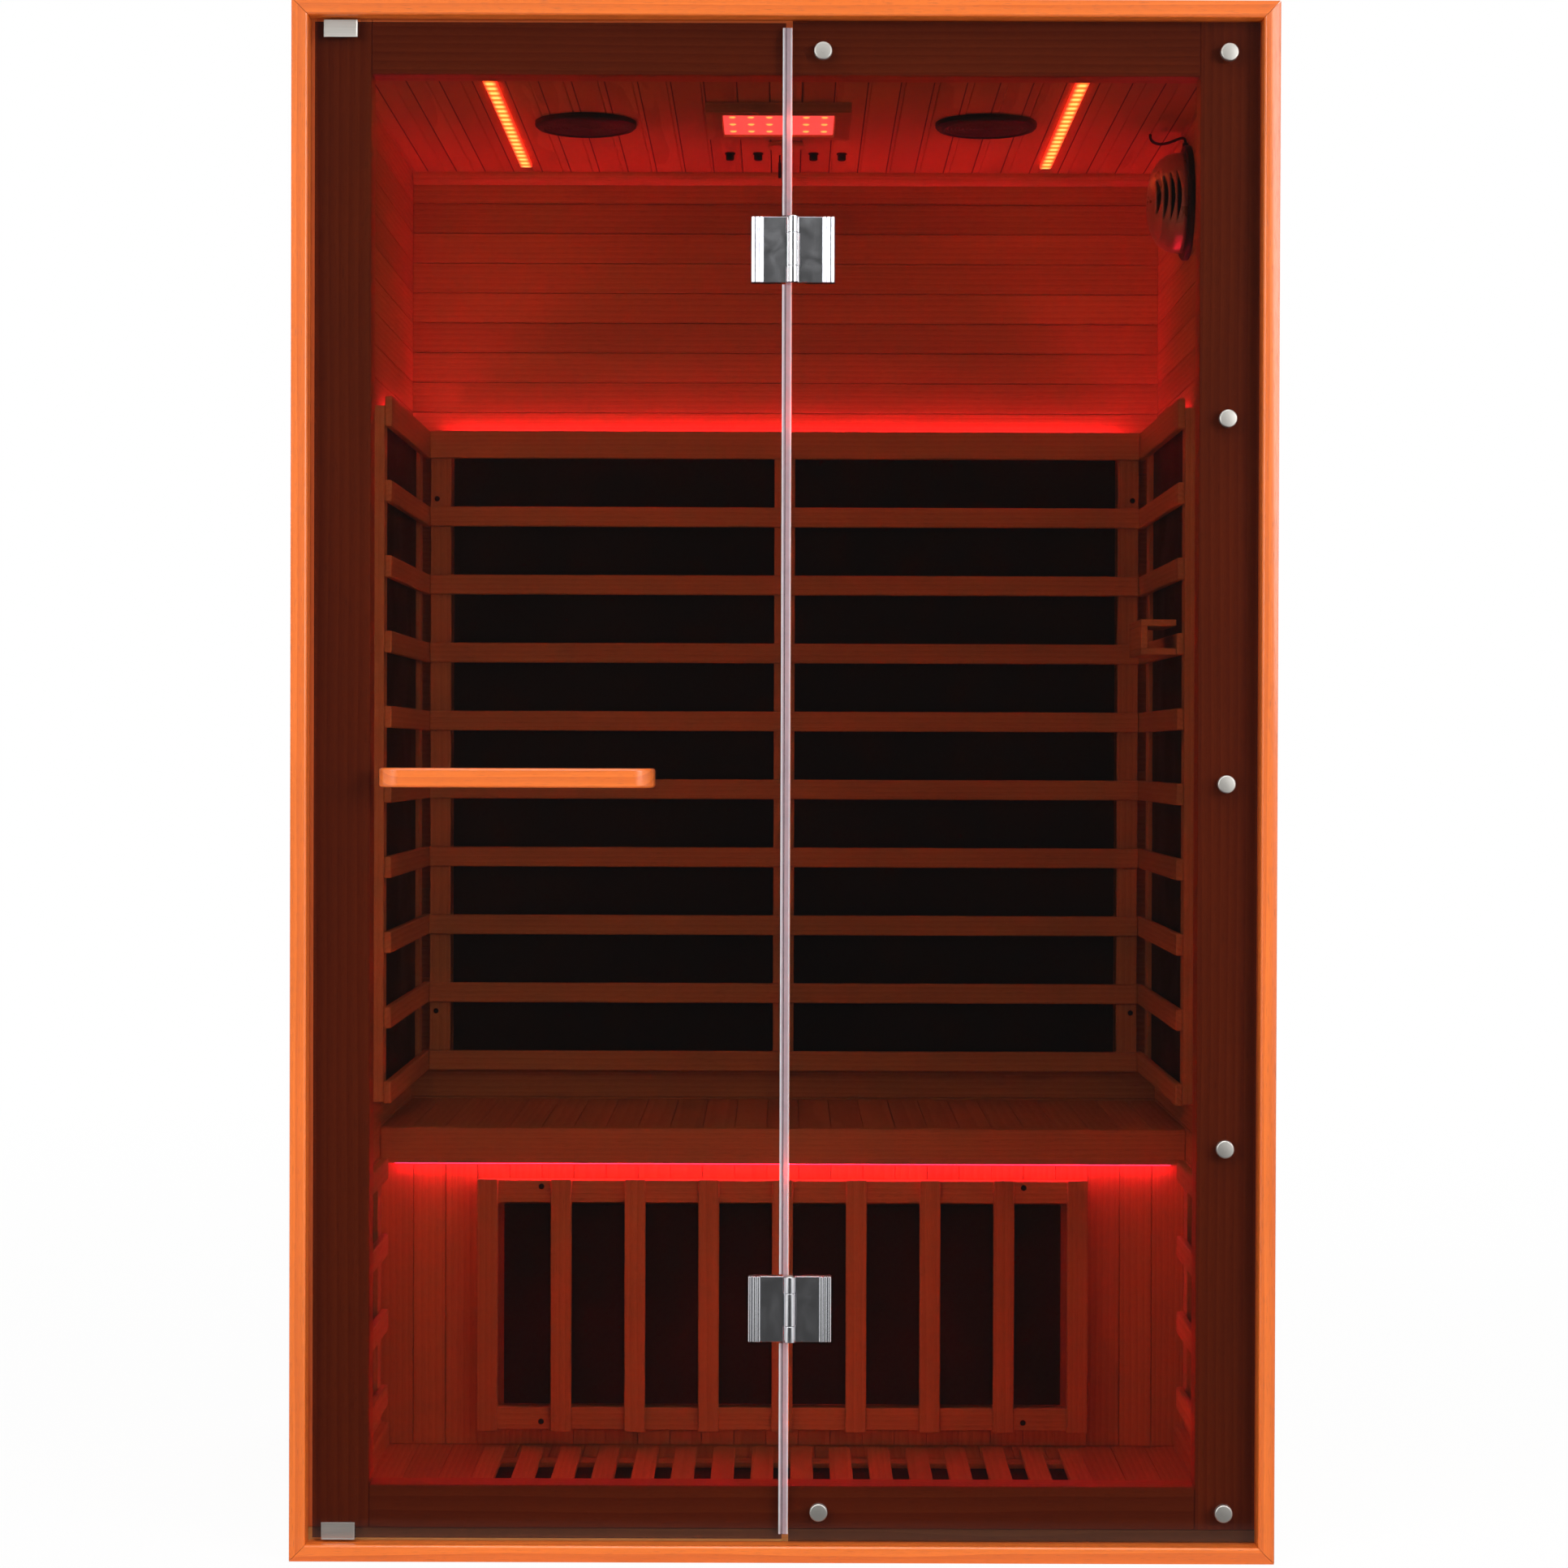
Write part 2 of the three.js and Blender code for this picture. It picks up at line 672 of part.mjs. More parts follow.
// The strip fills the gap between the panes and grips the door's edge, except beside the hinges.
function sealStrip() {
  const bottom = doorBottomZ + sealEndInset;
  const top = doorTopZ - sealEndInset;
  const gripFront = glassFrontY - seat - sealLegThickness;
  const gripBack = glassBackY + seat + sealLegThickness;
  const tongueX = doorEdgeX + seat;
  const outerX = paneLeftX - sealGap;
  const grip = block([doorEdgeX - sealLegWidth, gripFront, bottom], [outerX, gripBack, top]);
  const glassSlot = block(
    [doorEdgeX - 2 * sealLegWidth, glassFrontY - seat, 0],
    [tongueX, glassBackY + seat, cabinHeight],
  );
  const hingeSlots = Object.values(hingeCentres).flatMap((z) => {
    const low = z - hingeHeight / 2 - sealHingeGap;
    const high = z + hingeHeight / 2 + sealHingeGap;
    return [
      block([-2 * sealLegWidth, 2 * glassFrontY, low], [2 * glassGap, glassFrontY, high]),
      block([-2 * sealLegWidth, glassBackY, low], [2 * glassGap, 0, high]),
    ];
  });
  return cut(grip, glassSlot, ...hingeSlots);
}

// A bridge of wood whose ends curve back to the glass, with a stud and a nut at each end.
function handle() {
  const outer = handleLength;
  const reach = handleFingerGap + handleBarDepth;
  const shape = new THREE.Shape();
  shape.moveTo(0, 0);
  shape.lineTo(0, -reach + handleOuterRadius);
  shape.absarc(handleOuterRadius, -reach + handleOuterRadius, handleOuterRadius, Math.PI, 1.5 * Math.PI);
  shape.lineTo(outer - handleOuterRadius, -reach);
  shape.absarc(
    outer - handleOuterRadius,
    -reach + handleOuterRadius,
    handleOuterRadius,
    1.5 * Math.PI,
    2 * Math.PI,
  );
  shape.lineTo(outer, 0);
  const innerEnd = outer - handleEndWidth;
  const inner = -handleFingerGap + handleInnerRadius;
  shape.lineTo(innerEnd, 0);
  shape.lineTo(innerEnd, inner);
  shape.absarc(innerEnd - handleInnerRadius, inner, handleInnerRadius, 0, -0.5 * Math.PI, true);
  shape.lineTo(handleEndWidth + handleInnerRadius, -handleFingerGap);
  shape.absarc(handleEndWidth + handleInnerRadius, inner, handleInnerRadius, -0.5 * Math.PI, -Math.PI, true);
  shape.lineTo(handleEndWidth, 0);
  const bar = prism(shape, handleHeight).translate(
    handleStartX,
    glassFrontY - seat,
    handleCentreZ - handleHeight / 2,
  );
  const nutFront = glassBackY + seat;
  const fittings = handleStudPlaces.flatMap((place) => [
    rod("y", handleStudRadius, glassFrontY - handleFingerGap / 2, nutFront + rooted, place),
    rod("y", handleNutRadius, nutFront, nutFront + handleNutThickness, place, 6),
  ]);
  return join(bar, ...fittings);
}

// A clip folded over the glass edge at edgeZ. inward is -1 at the door's top edge and 1 at its bottom edge.
function catchStrike(edgeZ, inward) {
  const front = glassFrontY - seat;
  const back = glassBackY + seat;
  const foldZ = edgeZ - inward * seat;
  const outsideZ = foldZ - inward * strikeThickness;
  const x0 = doorLeftX + strikeFromEdge;
  const x1 = x0 + strikeLength;
  return join(
    block([x0, front - strikeThickness, outsideZ], [x1, front, outsideZ + inward * strikeHeight]),
    block([x0, front - strikeThickness, outsideZ], [x1, back + strikeThickness, foldZ]),
    block([x0, back, outsideZ], [x1, back + strikeThickness, outsideZ + inward * strikeBackHeight]),
  );
}

// The swinging door. Its group sits on the hinge axis.
function door() {
  const fromAxis = (geometry) => geometry.translate(-hingeAxisX, -hingeAxisY, 0);
  const glass = doorPane();
  fromAxis(glass.geometry);
  const knuckle = [[-halfKnuckle, halfKnuckle]];
  const leaves = Object.entries(hingeCentres).map(([name, z]) =>
    piece(`${name}_hinge_door_leaf`, hingeLeaf(-1, knuckle), chrome, [0, 0, z]),
  );
  return group(
    [
      glass,
      ...leaves,
      piece("hinge_seal_strip", fromAxis(sealStrip()), clearPlastic),
      piece("door_handle", fromAxis(handle()), stainedWood),
      piece("upper_catch_strike", fromAxis(catchStrike(doorTopZ, -1)), brushedSteel),
      piece("lower_catch_strike", fromAxis(catchStrike(doorBottomZ, 1)), brushedSteel),
    ],
    [hingeAxisX, hingeAxisY, 0],
  );
}

// Bench

function bench() {
  const halfSpan = innerX - seat;
  const backEdge = innerBackY - seat;
  const top = boards(2 * halfSpan, benchThickness, backEdge - benchFrontY);
  const laid = facing(top, [1, 0, 0], [0, 0, 1]).translate(0, backEdge, benchTop - benchThickness);
  const fascia = block(
    [-halfSpan, benchFrontY, benchTop - fasciaHeight],
    [halfSpan, benchFrontY + fasciaThickness, benchTop - grooveDepth],
  );
  const panelTop = benchTop - benchThickness - seat;
  const panelHeight = panelTop - wallBottomZ;
  const front = facing(boards(2 * halfSpan, benchPanelThickness, panelHeight), [-1, 0, 0], [0, -1, 0]);
  return [
    piece("bench_seat", join(laid, fascia), slatWood),
    piece("bench_front_panel", front, boardWood, [0, benchPanelY + benchPanelThickness, wallBottomZ]),
  ];
}

// Heaters and grilles. Each set is drawn on a wall that faces -Y, with the wall's face at y = 0.

// Lower and upper edges of a stack of slats, from the lowest.
function slatHeights(bottom, count, pitch) {
  return Array.from({ length: count }, (_, i) => [bottom + i * pitch, bottom + i * pitch + slatHeight]);
}

// Slats that run along X, on upright bearers. Each bearer is [middle, back face].
function levelGrille(length, bearers, slats) {
  const low = slats[0][0];
  const high = slats[slats.length - 1][1];
  const bearerTop = high - bearerTopInset;
  const uprights = bearers.map(([x, back]) =>
    block([x - bearerWidth / 2, -back, low + slatLap], [x + bearerWidth / 2, -bearerDepth, bearerTop]),
  );
  const levels = slats.map(([z0, z1]) =>
    block([-length / 2, -bearerDepth + slatLap, z0], [length / 2, -grilleDepth, z1]),
  );
  return join(...uprights, ...levels);
}

function heaterPanel(left, right, low, high) {
  const front = -seat - heaterThickness;
  return block([left, -seat, low], [right, front, high]);
}

const heaterFront = heaterThickness + 2 * seat;
const wideSlats = [...slatHeights(grilleBottom, grilleSlats, grillePitch), [topRailZ, grilleTop]];
const heaterLow = grilleBottom + heaterMargin;
const heaterHigh = topRailZ + topRailHeight / 2;

function backHeater() {
  const length = 2 * (innerX - grilleDepth - seat);
  const endBearer = length / 2 - bearerWidth / 2;
  const bearers = [
    [-endBearer, seat],
    [0, heaterFront],
    [endBearer, seat],
  ];
  const reach = endBearer - bearerWidth / 2 - heaterMargin;
  return group(
    [
      piece("back_grille", levelGrille(length, bearers, wideSlats), slatWood),
      piece("back_heater", heaterPanel(-reach, reach, heaterLow, heaterHigh), carbon),
    ],
    [0, innerBackY, 0],
  );
}

// A side set. side is -1 on the left wall and 1 on the right wall: its far end is at -side * length / 2.
function sideHeater(name, side, length, slats, heaterSpan, farInset, middleY) {
  const nearBearer = side * (length / 2 - bearerWidth / 2);
  const farBearer = -side * (length / 2 - farInset - bearerWidth / 2);
  const bearers = [
    [nearBearer, seat],
    [farBearer, seat],
  ];
  const nearEdge = nearBearer - side * (bearerWidth / 2 + heaterMargin);
  const farEdge = farBearer + side * (bearerWidth / 2 + heaterMargin);
  return group(
    [
      piece(`${name}_grille`, levelGrille(length, bearers, slats), slatWood),
      piece(`${name}_heater`, heaterPanel(nearEdge, farEdge, ...heaterSpan), carbon),
    ],
    [side * innerX, middleY, 0],
    (-side * Math.PI) / 2,
  );
}

function sideHeaters() {
  const backEnd = innerBackY - seat;
  const sideMiddle = backEnd - sideGrilleLength / 2;
  const calfFront = frameBackY + calfGrilleFromFrame;
  const calfBack = benchFrontY - calfGrilleFromBench;
  const calfLength = calfBack - calfFront;
  const calfMiddle = (calfFront + calfBack) / 2;
  const calfSlats = slatHeights(calfGrilleBottom, calfGrilleSlats, slatPitch);
  const calfHigh = calfSlats[calfSlats.length - 1][1];
  const calfSpan = [calfGrilleBottom + heaterMargin, calfHigh - heaterMargin];
  const sides = { left: -1, right: 1 };
  return Object.entries(sides).flatMap(([name, side]) => [
    sideHeater(name, side, sideGrilleLength, wideSlats, [heaterLow, heaterHigh], sideFarInset, sideMiddle),
    sideHeater(`${name}_calf`, side, calfLength, calfSlats, calfSpan, 0, calfMiddle),
  ]);
}

// Upright slats in front of a top and a bottom rail.
function benchHeater() {
  const half = innerX - benchGrilleFromWall;
  const low = benchGrilleBottom;
  const high = low + benchGrilleHeight;
  const gaps = Math.max(1, Math.round((2 * half - benchSlatWidth) / benchSlatPitch));
  const pitch = (2 * half - benchSlatWidth) / gaps;
  const uprights = Array.from({ length: gaps + 1 }, (_, i) => {
    const x = -half + i * pitch;
    return block([x, -bearerDepth + slatLap, low], [x + benchSlatWidth, -grilleDepth, high]);
  });
  const rails = [low + slatLap, high - slatLap - bearerWidth].map((z) =>
    block([-half + slatLap, -seat, z], [half - slatLap, -bearerDepth, z + bearerWidth]),
  );
  const inset = slatLap + bearerWidth + heaterMargin;
  return group(
    [
      piece("bench_grille", join(...uprights, ...rails), slatWood),
      piece("bench_heater", heaterPanel(-half + inset, half - inset, low + inset, high - inset), carbon),
    ],
    [0, benchPanelY, 0],
  );
}

// Heater in the floor's recess, under slats that lie on two cross bearers.
function floorHeater() {
  const heaterBottom = floorRecessZ + seat;
  const heaterTop = heaterBottom + floorHeaterThickness;
  const bearerBottom = heaterTop + seat;
  const slatBottom = bearerBottom + floorBearerHeight;
  const bearerFronts = [
    floorGrilleFrontY + floorBearerInset,
    floorGrilleBackY - floorBearerInset - floorBearerWidth,
  ];
  const bearers = bearerFronts.map((y) =>
    block(
      [-floorGrilleHalf, y, bearerBottom],
      [floorGrilleHalf, y + floorBearerWidth, slatBottom + slatLap],
    ),
  );
  const gaps = Math.max(1, Math.round((2 * floorGrilleHalf - floorSlatWidth) / floorSlatPitch));
  const pitch = (2 * floorGrilleHalf - floorSlatWidth) / gaps;
  const slats = Array.from({ length: gaps + 1 }, (_, i) => {
    const x = -floorGrilleHalf + i * pitch;
    return block(
      [x, floorGrilleFrontY, slatBottom],
      [x + floorSlatWidth, floorGrilleBackY, slatBottom + floorSlatThickness],
    );
  });
  const heater = block(
    [-floorGrilleHalf, floorGrilleFrontY, heaterBottom],
    [floorGrilleHalf, floorGrilleBackY, heaterTop],
  );
  return [
    piece("floor_heater", heater, carbon),
    piece("floor_grille", join(...bearers, ...slats), slatWood),
  ];
}

// Fittings on the ceiling

function speaker(name, x) {
  const flange = -seat;
  const profile = [
    [0, flange - speakerDrop],
    [speakerRadius - speakerBevel, flange - speakerDrop],
    [speakerRadius, flange - speakerRimDrop],
    [speakerRadius, flange],
    [speakerBodyRadius, flange],
    [speakerBodyRadius, speakerBodyHeight],
    [0, speakerBodyHeight],
  ];
  return piece(name, turned(profile).rotateX(Math.PI / 2), blackPlastic, [x, speakerY, ceilingZ]);
}

function lightBar(name, side) {
  const x = side * (innerX - lightBarFromWall);
  const top = ceilingZ - seat;
  const bar = block(
    [x - lightBarWidth / 2, frameBackY + lightBarFromFrame, top - lightBarDrop],
    [x + lightBarWidth / 2, innerBackY - lightBarFromBack, top],
  );
  return piece(name, bar, lightDiffuser);
}

function lampFrame() {
  const top = -seat;
  const square = (size, low, high) => block([-size / 2, -size / 2, low], [size / 2, size / 2, high]);
  const recess = square(lampRecess, top - lampDrop - overcut, top - lampDrop + lampRecessDepth);
  const frame = cut(square(lampSize, top - lampDrop, top), recess);
  return piece("lamp_frame", frame, boardWood, [lampX, innerBackY - lampFromBack, ceilingZ]);
}

// The disc hangs on one screw near its edge and swings aside to open the vent. Its origin is the screw.
function ventDisc() {
  const top = -seat;
  const disc = rod("z", ventDiscRadius, top - ventDiscThickness, top, [0, ventPivotOffset], discSides);
  const screw = rod("z", ventScrewRadius, top - ventDiscThickness / 2, ventScrewLength, [0, 0]);
  return piece("vent_disc", join(disc, screw), slatWood, [0, ventPivotY, ceilingZ]);
}

function ceilingFittings() {
  return [
    lightBar("light_bar_left", -1),
    lightBar("light_bar_right", 1),
    speaker("speaker_left", -speakerSpacing / 2),
    speaker("speaker_right", speakerSpacing / 2),
    lampFrame(),
    ventDisc(),
  ];
}

// Fittings on the right wall

// Half outline of the dome, from its rim to its top: a rounded square-shouldered curve.
function domeCurve(radius, depth) {
  return Array.from({ length: domeSteps + 1 }, (_, i) => {
    const angle = (i / domeSteps) * (Math.PI / 2);
    const power = 2 / ioniserDomeSquareness;
    const r = i === domeSteps ? 0 : radius * Math.cos(angle) ** power;
    return [r, depth * Math.sin(angle) ** power];
  });
}

// Drawn with the wall at y = 0 and the dome towards +Y, then turned to face the cabin.
function ioniser() {
  const baseFront = seat + ioniserBaseThickness;
  const base = join(
    rod("y", ioniserBaseRadius, seat, baseFront, [0, 0], discSides),
    rod("y", ioniserCoreRadius, seat, baseFront + ioniserCoreDepth, [0, 0]),
  );
  const outside = turned([[0, 0], ...domeCurve(ioniserDomeRadius, ioniserDomeDepth)]);
  const insideRadius = ioniserDomeRadius - ioniserDomeWall;
  const insideDepth = ioniserDomeDepth - ioniserDomeWall;
  const hollow = turned([
    [0, -overcut],
    [insideRadius, -overcut],
    ...domeCurve(insideRadius, insideDepth),
  ]);
  const slots = Array.from({ length: ioniserSlots }, (_, i) => {
    const y = ioniserSlotFirst + i * ioniserSlotPitch;
    return block(
      [ioniserSlotReach, y, -ioniserSlotHeight / 2],
      [2 * ioniserDomeRadius, y + ioniserSlotWidth, ioniserSlotHeight / 2],
    );
  });
  const dome = cut(outside, hollow, ...slots).translate(0, baseFront + seat, 0);
  const wall = group(
    [piece("ioniser_base", base, blackPlastic), piece("ioniser_dome", dome, blackPlastic)],
    [innerX, ioniserY, ioniserZ],
    Math.PI / 2,
  );
  return [wall, ioniserLead()];
}

// The short lead sags from the ceiling to the top of the ioniser's base.
function ioniserLead() {
  const baseTop = ioniserZ + ioniserBaseRadius + seat;
  const startX = innerX - leadCeilingOffset;
  const endX = innerX - leadBaseOffset;
  const startY = ioniserY + leadCeilingBehind;
  const fromCeiling = [
    [0, 0, -seat],
    [0, 0, -2],
    [0, 0, -4],
    [0.4, -0.5, -6.5],
    [1.4, -1.7, -9.2],
    [3.4, -4.2, -12],
    [6.5, -8.2, -14.6],
    [10.8, -13.4, -16.6],
    [16, -19.6, -17.6],
    [22, -26.4, -17.4],
    [28.4, -33.3, -16],
    [34.6, -38.8, -14.2],
  ];
  const fromBase = [
    [-4.6, 2.4, 11.3],
    [-1.6, 0.8, 10.1],
    [-0.3, 0.1, 7.3],
    [0, 0, 4.3],
    [0, 0, 2.1],
    [0, 0, 0],
  ];
  const route = [
    ...fromCeiling.map(([x, y, z]) => [startX + x, startY + y, ceilingZ + z]),
    ...fromBase.map(([x, y, z]) => [endX + x, ioniserY + y, baseTop + z]),
  ];
  const curve = new THREE.CatmullRomCurve3(route.map((point) => new THREE.Vector3(...point)));
  const section = new THREE.Shape();
  section.absarc(0, 0, leadRadius, 0, 2 * Math.PI);
  const tube = new THREE.ExtrudeGeometry(section, {
    steps: leadSteps,
    curveSegments: leadHalfSides,
    extrudePath: curve,
  });
  return piece("ioniser_lead", tube, blackPlastic);
}

// A channel of three boards, open to the slats and at both ends.
function storageRack() {
  const back = innerX - grilleDepth - seat;
  const front = back - rackReach;
  const low = topRailZ - rackSlatsDown * grillePitch;
  const high = low + rackHeight;
  const outline = [
    [back, low],
    [back, low + rackBoard],
    [front + rackBoard, low + rackBoard],
    [front + rackBoard, high - rackBoard],
    [back, high - rackBoard],
    [back, high],
    [front, high],
    [front, low],
  ];
  const channel = facing(prism(outline, rackLength), [1, 0, 0], [0, 0, 1]);
  const nearEnd = innerBackY - seat - sideGrilleLength + rackFromEnd;
  return piece("storage_rack", channel, slatWood, [0, nearEnd + rackLength, 0]);
}

const cabin = group([
  floorPanel(),
  ...walls(),
  ...roof(),
  ...frontFrame(),
  ...mouldings(),
  fixedPane(),
  ...glassFixings(),
  ...fixedHingeHalves(),
  door(),
  ...bench(),
  backHeater(),
  ...sideHeaters(),
  benchHeater(),
  ...floorHeater(),
  ...ceilingFittings(),
  ...ioniser(),
  storageRack(),
]);
cabin.name = "infrared_sauna_cabin";

export default cabin;
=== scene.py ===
import json
import math
import random

import bmesh
import bpy
from mathutils import Matrix, Vector


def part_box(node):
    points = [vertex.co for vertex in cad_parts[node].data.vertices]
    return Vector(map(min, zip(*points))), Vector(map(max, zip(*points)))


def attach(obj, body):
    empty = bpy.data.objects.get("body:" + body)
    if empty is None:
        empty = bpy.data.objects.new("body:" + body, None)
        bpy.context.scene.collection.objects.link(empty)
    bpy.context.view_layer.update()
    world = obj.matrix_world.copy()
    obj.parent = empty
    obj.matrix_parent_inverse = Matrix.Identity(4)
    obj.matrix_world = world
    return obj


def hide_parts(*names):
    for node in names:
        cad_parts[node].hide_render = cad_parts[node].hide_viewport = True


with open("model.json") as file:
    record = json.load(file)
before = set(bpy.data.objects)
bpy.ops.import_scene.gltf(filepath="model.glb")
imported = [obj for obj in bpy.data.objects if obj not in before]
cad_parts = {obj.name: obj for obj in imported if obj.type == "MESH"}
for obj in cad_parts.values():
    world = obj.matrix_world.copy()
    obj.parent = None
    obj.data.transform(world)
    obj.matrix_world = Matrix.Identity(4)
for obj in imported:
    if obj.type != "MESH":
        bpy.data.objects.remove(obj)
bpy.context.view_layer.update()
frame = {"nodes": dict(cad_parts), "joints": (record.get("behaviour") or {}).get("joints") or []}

# Infrared sauna cabin: grooved boards, slatted heaters and a bronze glass front, lit red from inside.
# Metres. +X to the right, +Y to the back, +Z up. Millimetre sizes are written as a number times MM.
MM = 0.001
X, Y, Z = 0, 1, 2
draw = random.Random(11)  # tone and grain of each board, always in the same order

# Camera, where the photograph was taken from
CAMERA_PLACE = (0.0, -4.5, 0.984)
CAMERA_LENS = 75.6
CAMERA_SENSOR = 36.0
CAMERA_DIP = math.radians(0.51)
CAMERA_ROLL = math.radians(0.18)

# Boards
BOARD_PITCH = 45 * MM
BOARD_JOINT = 0.8 * MM  # chamfer on each side of a joint
JOINT_GAP = 0.9 * MM
JOINT_DEPTH = 6 * MM
FLOOR_TOP = 20 * MM
FLOOR_RECESS = 12 * MM
RECESS_MARGIN = 3 * MM
FASCIA_THICKNESS = 14 * MM
BENCH_THICKNESS = 20 * MM

# Slatted grilles
SLAT_HEIGHT = 29.5 * MM
SLAT_THICKNESS = 12 * MM
SLAT_ROUNDING = 2.4 * MM
BEARER_WIDTH = 31 * MM
BEARER_DEPTH = 19 * MM
BEARER_TOP_INSET = 12.7 * MM
TOP_RAIL = 41 * MM
WIDE_SLATS = 9
CALF_SLATS = 4
SIDE_FAR_INSET = 35 * MM
HEATER_GAP = 13.6 * MM  # from a wall to the front of its heater

# Ceiling and roof
CEILING_PITCH = 1200 * MM / 28
CEILING_JOINTS_TOP = 1859 * MM
ROOF_PITCH = 250 * MM
LAMP_FRAME_WIDTH = 22 * MM
LAMP_RECESS = 8 * MM
VENT_PIVOT = 19 * MM
BOLT_PLACES = (-81 * MM, -40 * MM, 40 * MM, 81 * MM)
BOLT_ROW_Y = 0.284
PROBE_PLACE = (-0.009, 0.3)

# Screws of the back bearers and of the bench grille's rails
BACK_SCREW_X = 0.521
BACK_SCREW_HEIGHTS = (0.598, 1.366)
BENCH_SCREW_X = 0.335
BENCH_SCREW_HEIGHTS = (0.056, 0.383)

# Lights: emission strengths, and the thin strips that are out of sight
LIGHT_BAR_GLOW = 7.0
LIGHT_BAR_RIBS = 21
STRIP_GLOW = 200.0
BENCH_GLOW = 420.0
FRAME_GLOW = 42.0
SILL_GLOW = 110.0
LENS_GLOW = 4.5
LAMP_DOT_GLOW = 9.0
STRIP_END_INSET = 20 * MM
SIDE_STRIP_START = 110 * MM
SIDE_STRIP_END = 60 * MM
POST_STRIP_BOTTOM = 0.5
POST_STRIP_TOP_INSET = 0.1
POST_STRIP_INSET = 18 * MM
POST_STRIP_WIDTHS = ((-1, 7 * MM), (1, 3 * MM))  # left and right: side, width
SILL_STRIP_HALF = 0.48

# Studio
WHITE = (1, 1, 1, 1)
MIRRORED_FRONT = 0.06  # what gloss sees towards the camera, where white is 1
MIRRORED_FLOOR = 0.3  # and on the floor just in front of the cabin
FLOOR_SIDES_FROM = 0.65  # from here outwards the floor pales in gloss
FLOOR_SIDES_SLANT = (0.14, 0.32)  # metres aside per metre ahead, over which it pales
FLOOR_CLOSE = (0.6, 0.72)  # metres ahead, over which the floor in front darkens in gloss
WORLD_FRONT = (-0.97, -0.82)  # view directions over which the background pales
FLOOR_COLOUR = (0.86, 0.86, 0.85, 1)
FLOOR_RADIUS = 14.0
FLOOR_WHITENESS = 0.96  # as the camera sees the floor beside the cabin
FLOOR_FADE = (1.0, 5.0)  # metres away, over which the floor turns white
WORLD_FILL = 0.35
CABIN_MIDDLE = Vector((0, 0, 0.95))
LAMPS = (  # name, place, aim, size, watts, spread in degrees
    ("key", (-3.4, -4.6, 2.4), CABIN_MIDDLE, 2.2, 100, 180),
    ("fill", (3.4, -4.6, 2.2), CABIN_MIDDLE, 2.2, 130, 180),
    ("top", (0.0, -2.4, 3.4), Vector((0, -2.2, 0)), 2.0, 34, 100),
    ("rear", (1.5, 4.5, 3.6), CABIN_MIDDLE, 2.6, 120, 180),
)


# Shapes

def new_shape():
    """An empty bmesh whose vertices carry the grain's coordinates and the tone of their board."""
    bm = bmesh.new()
    bm.verts.layers.float_vector.new("grain")
    bm.verts.layers.float.new("tone")
    return bm


def lay_grain(bm, along):
    """Gives every vertex that has none yet a grain that runs along one axis, with its own tone."""
    grain = bm.verts.layers.float_vector["grain"]
    tone = bm.verts.layers.float["tone"]
    across, depth = (axis for axis in (X, Y, Z) if axis != along)
    shift = Vector((draw.uniform(0, 9), draw.uniform(-0.1, 0.1), draw.uniform(0.03, 0.25)))
    shade = draw.uniform(0.05, 1)
    for vert in bm.verts:
        if vert[tone] == 0:
            vert[grain] = Vector((vert.co[along], vert.co[across], vert.co[depth])) + shift
            vert[tone] = shade


def bevel(bm, parts, width, segments=2, affect="EDGES"):
    bmesh.ops.bevel(
        bm,
        geom=parts,
        offset=width,
        offset_type="OFFSET",
        segments=segments,
        profile=0.5,
        affect=affect,
        clamp_overlap=True,
        material=-1,
    )


def box(bm, low, high, soften=0.0, segments=2):
    """A box between two corners with softened edges."""
    a = Vector(map(min, low, high))
    b = Vector(map(max, low, high))
    made = bmesh.ops.create_cube(bm, size=1, matrix=Matrix.LocRotScale((a + b) / 2, None, b - a))
    if soften:
        edges = dict.fromkeys(edge for vert in made["verts"] for edge in vert.link_edges)
        bevel(bm, list(edges), soften, segments)


def plank(bm, low, high, along, soften=BOARD_JOINT, segments=2):
    """A board with its grain along one axis."""
    box(bm, low, high, soften, segments)
    lay_grain(bm, along)


def stack(bm, low, high, across, along, soften=BOARD_JOINT):
    """Boards side by side that fill a box."""
    span = high[across] - low[across]
    count = max(1, round(span / BOARD_PITCH))
    for i in range(count):
        a, b = Vector(low), Vector(high)
        a[across] = low[across] + span * i / count + (JOINT_GAP / 2 if i else 0)
        b[across] = low[across] + span * (i + 1) / count - (JOINT_GAP / 2 if i < count - 1 else 0)
        plank(bm, a, b, along, soften)


def panelled(bm, low, high, across, along):
    """Boards on both faces of a core, with narrow open joints."""
    (through,) = (axis for axis in (X, Y, Z) if axis not in (across, along))
    front, back = Vector(high), Vector(low)
    front[through] = low[through] + JOINT_DEPTH
    back[through] = high[through] - JOINT_DEPTH
    stack(bm, low, front, across, along)
    stack(bm, back, high, across, along)
    core_low, core_high = Vector(low), Vector(high)
    core_low[through] += JOINT_DEPTH
    core_high[through] -= JOINT_DEPTH
    plank(bm, core_low, core_high, along, 0)


def bar(bm, axis, radius, start, end, centre, sides=32, soften=0.0):
    """A round bar along one axis. centre holds its other two coordinates, in X, Y, Z order."""
    middle = list(centre)
    middle.insert(axis, (start + end) / 2)
    turn = {X: Matrix.Rotation(math.pi / 2, 4, "Y"), Y: Matrix.Rotation(math.pi / 2, 4, "X")}
    made = bmesh.ops.create_cone(
        bm,
        cap_ends=True,
        segments=sides,
        radius1=radius,
        radius2=radius,
        depth=abs(end - start),
        matrix=Matrix.Translation(middle) @ turn.get(axis, Matrix.Identity(4)),
    )
    if soften:
        faces = dict.fromkeys(face for vert in made["verts"] for face in vert.link_faces)
        caps = [face for face in faces if len(face.verts) == sides]
        bevel(bm, [edge for face in caps for edge in face.edges], soften)


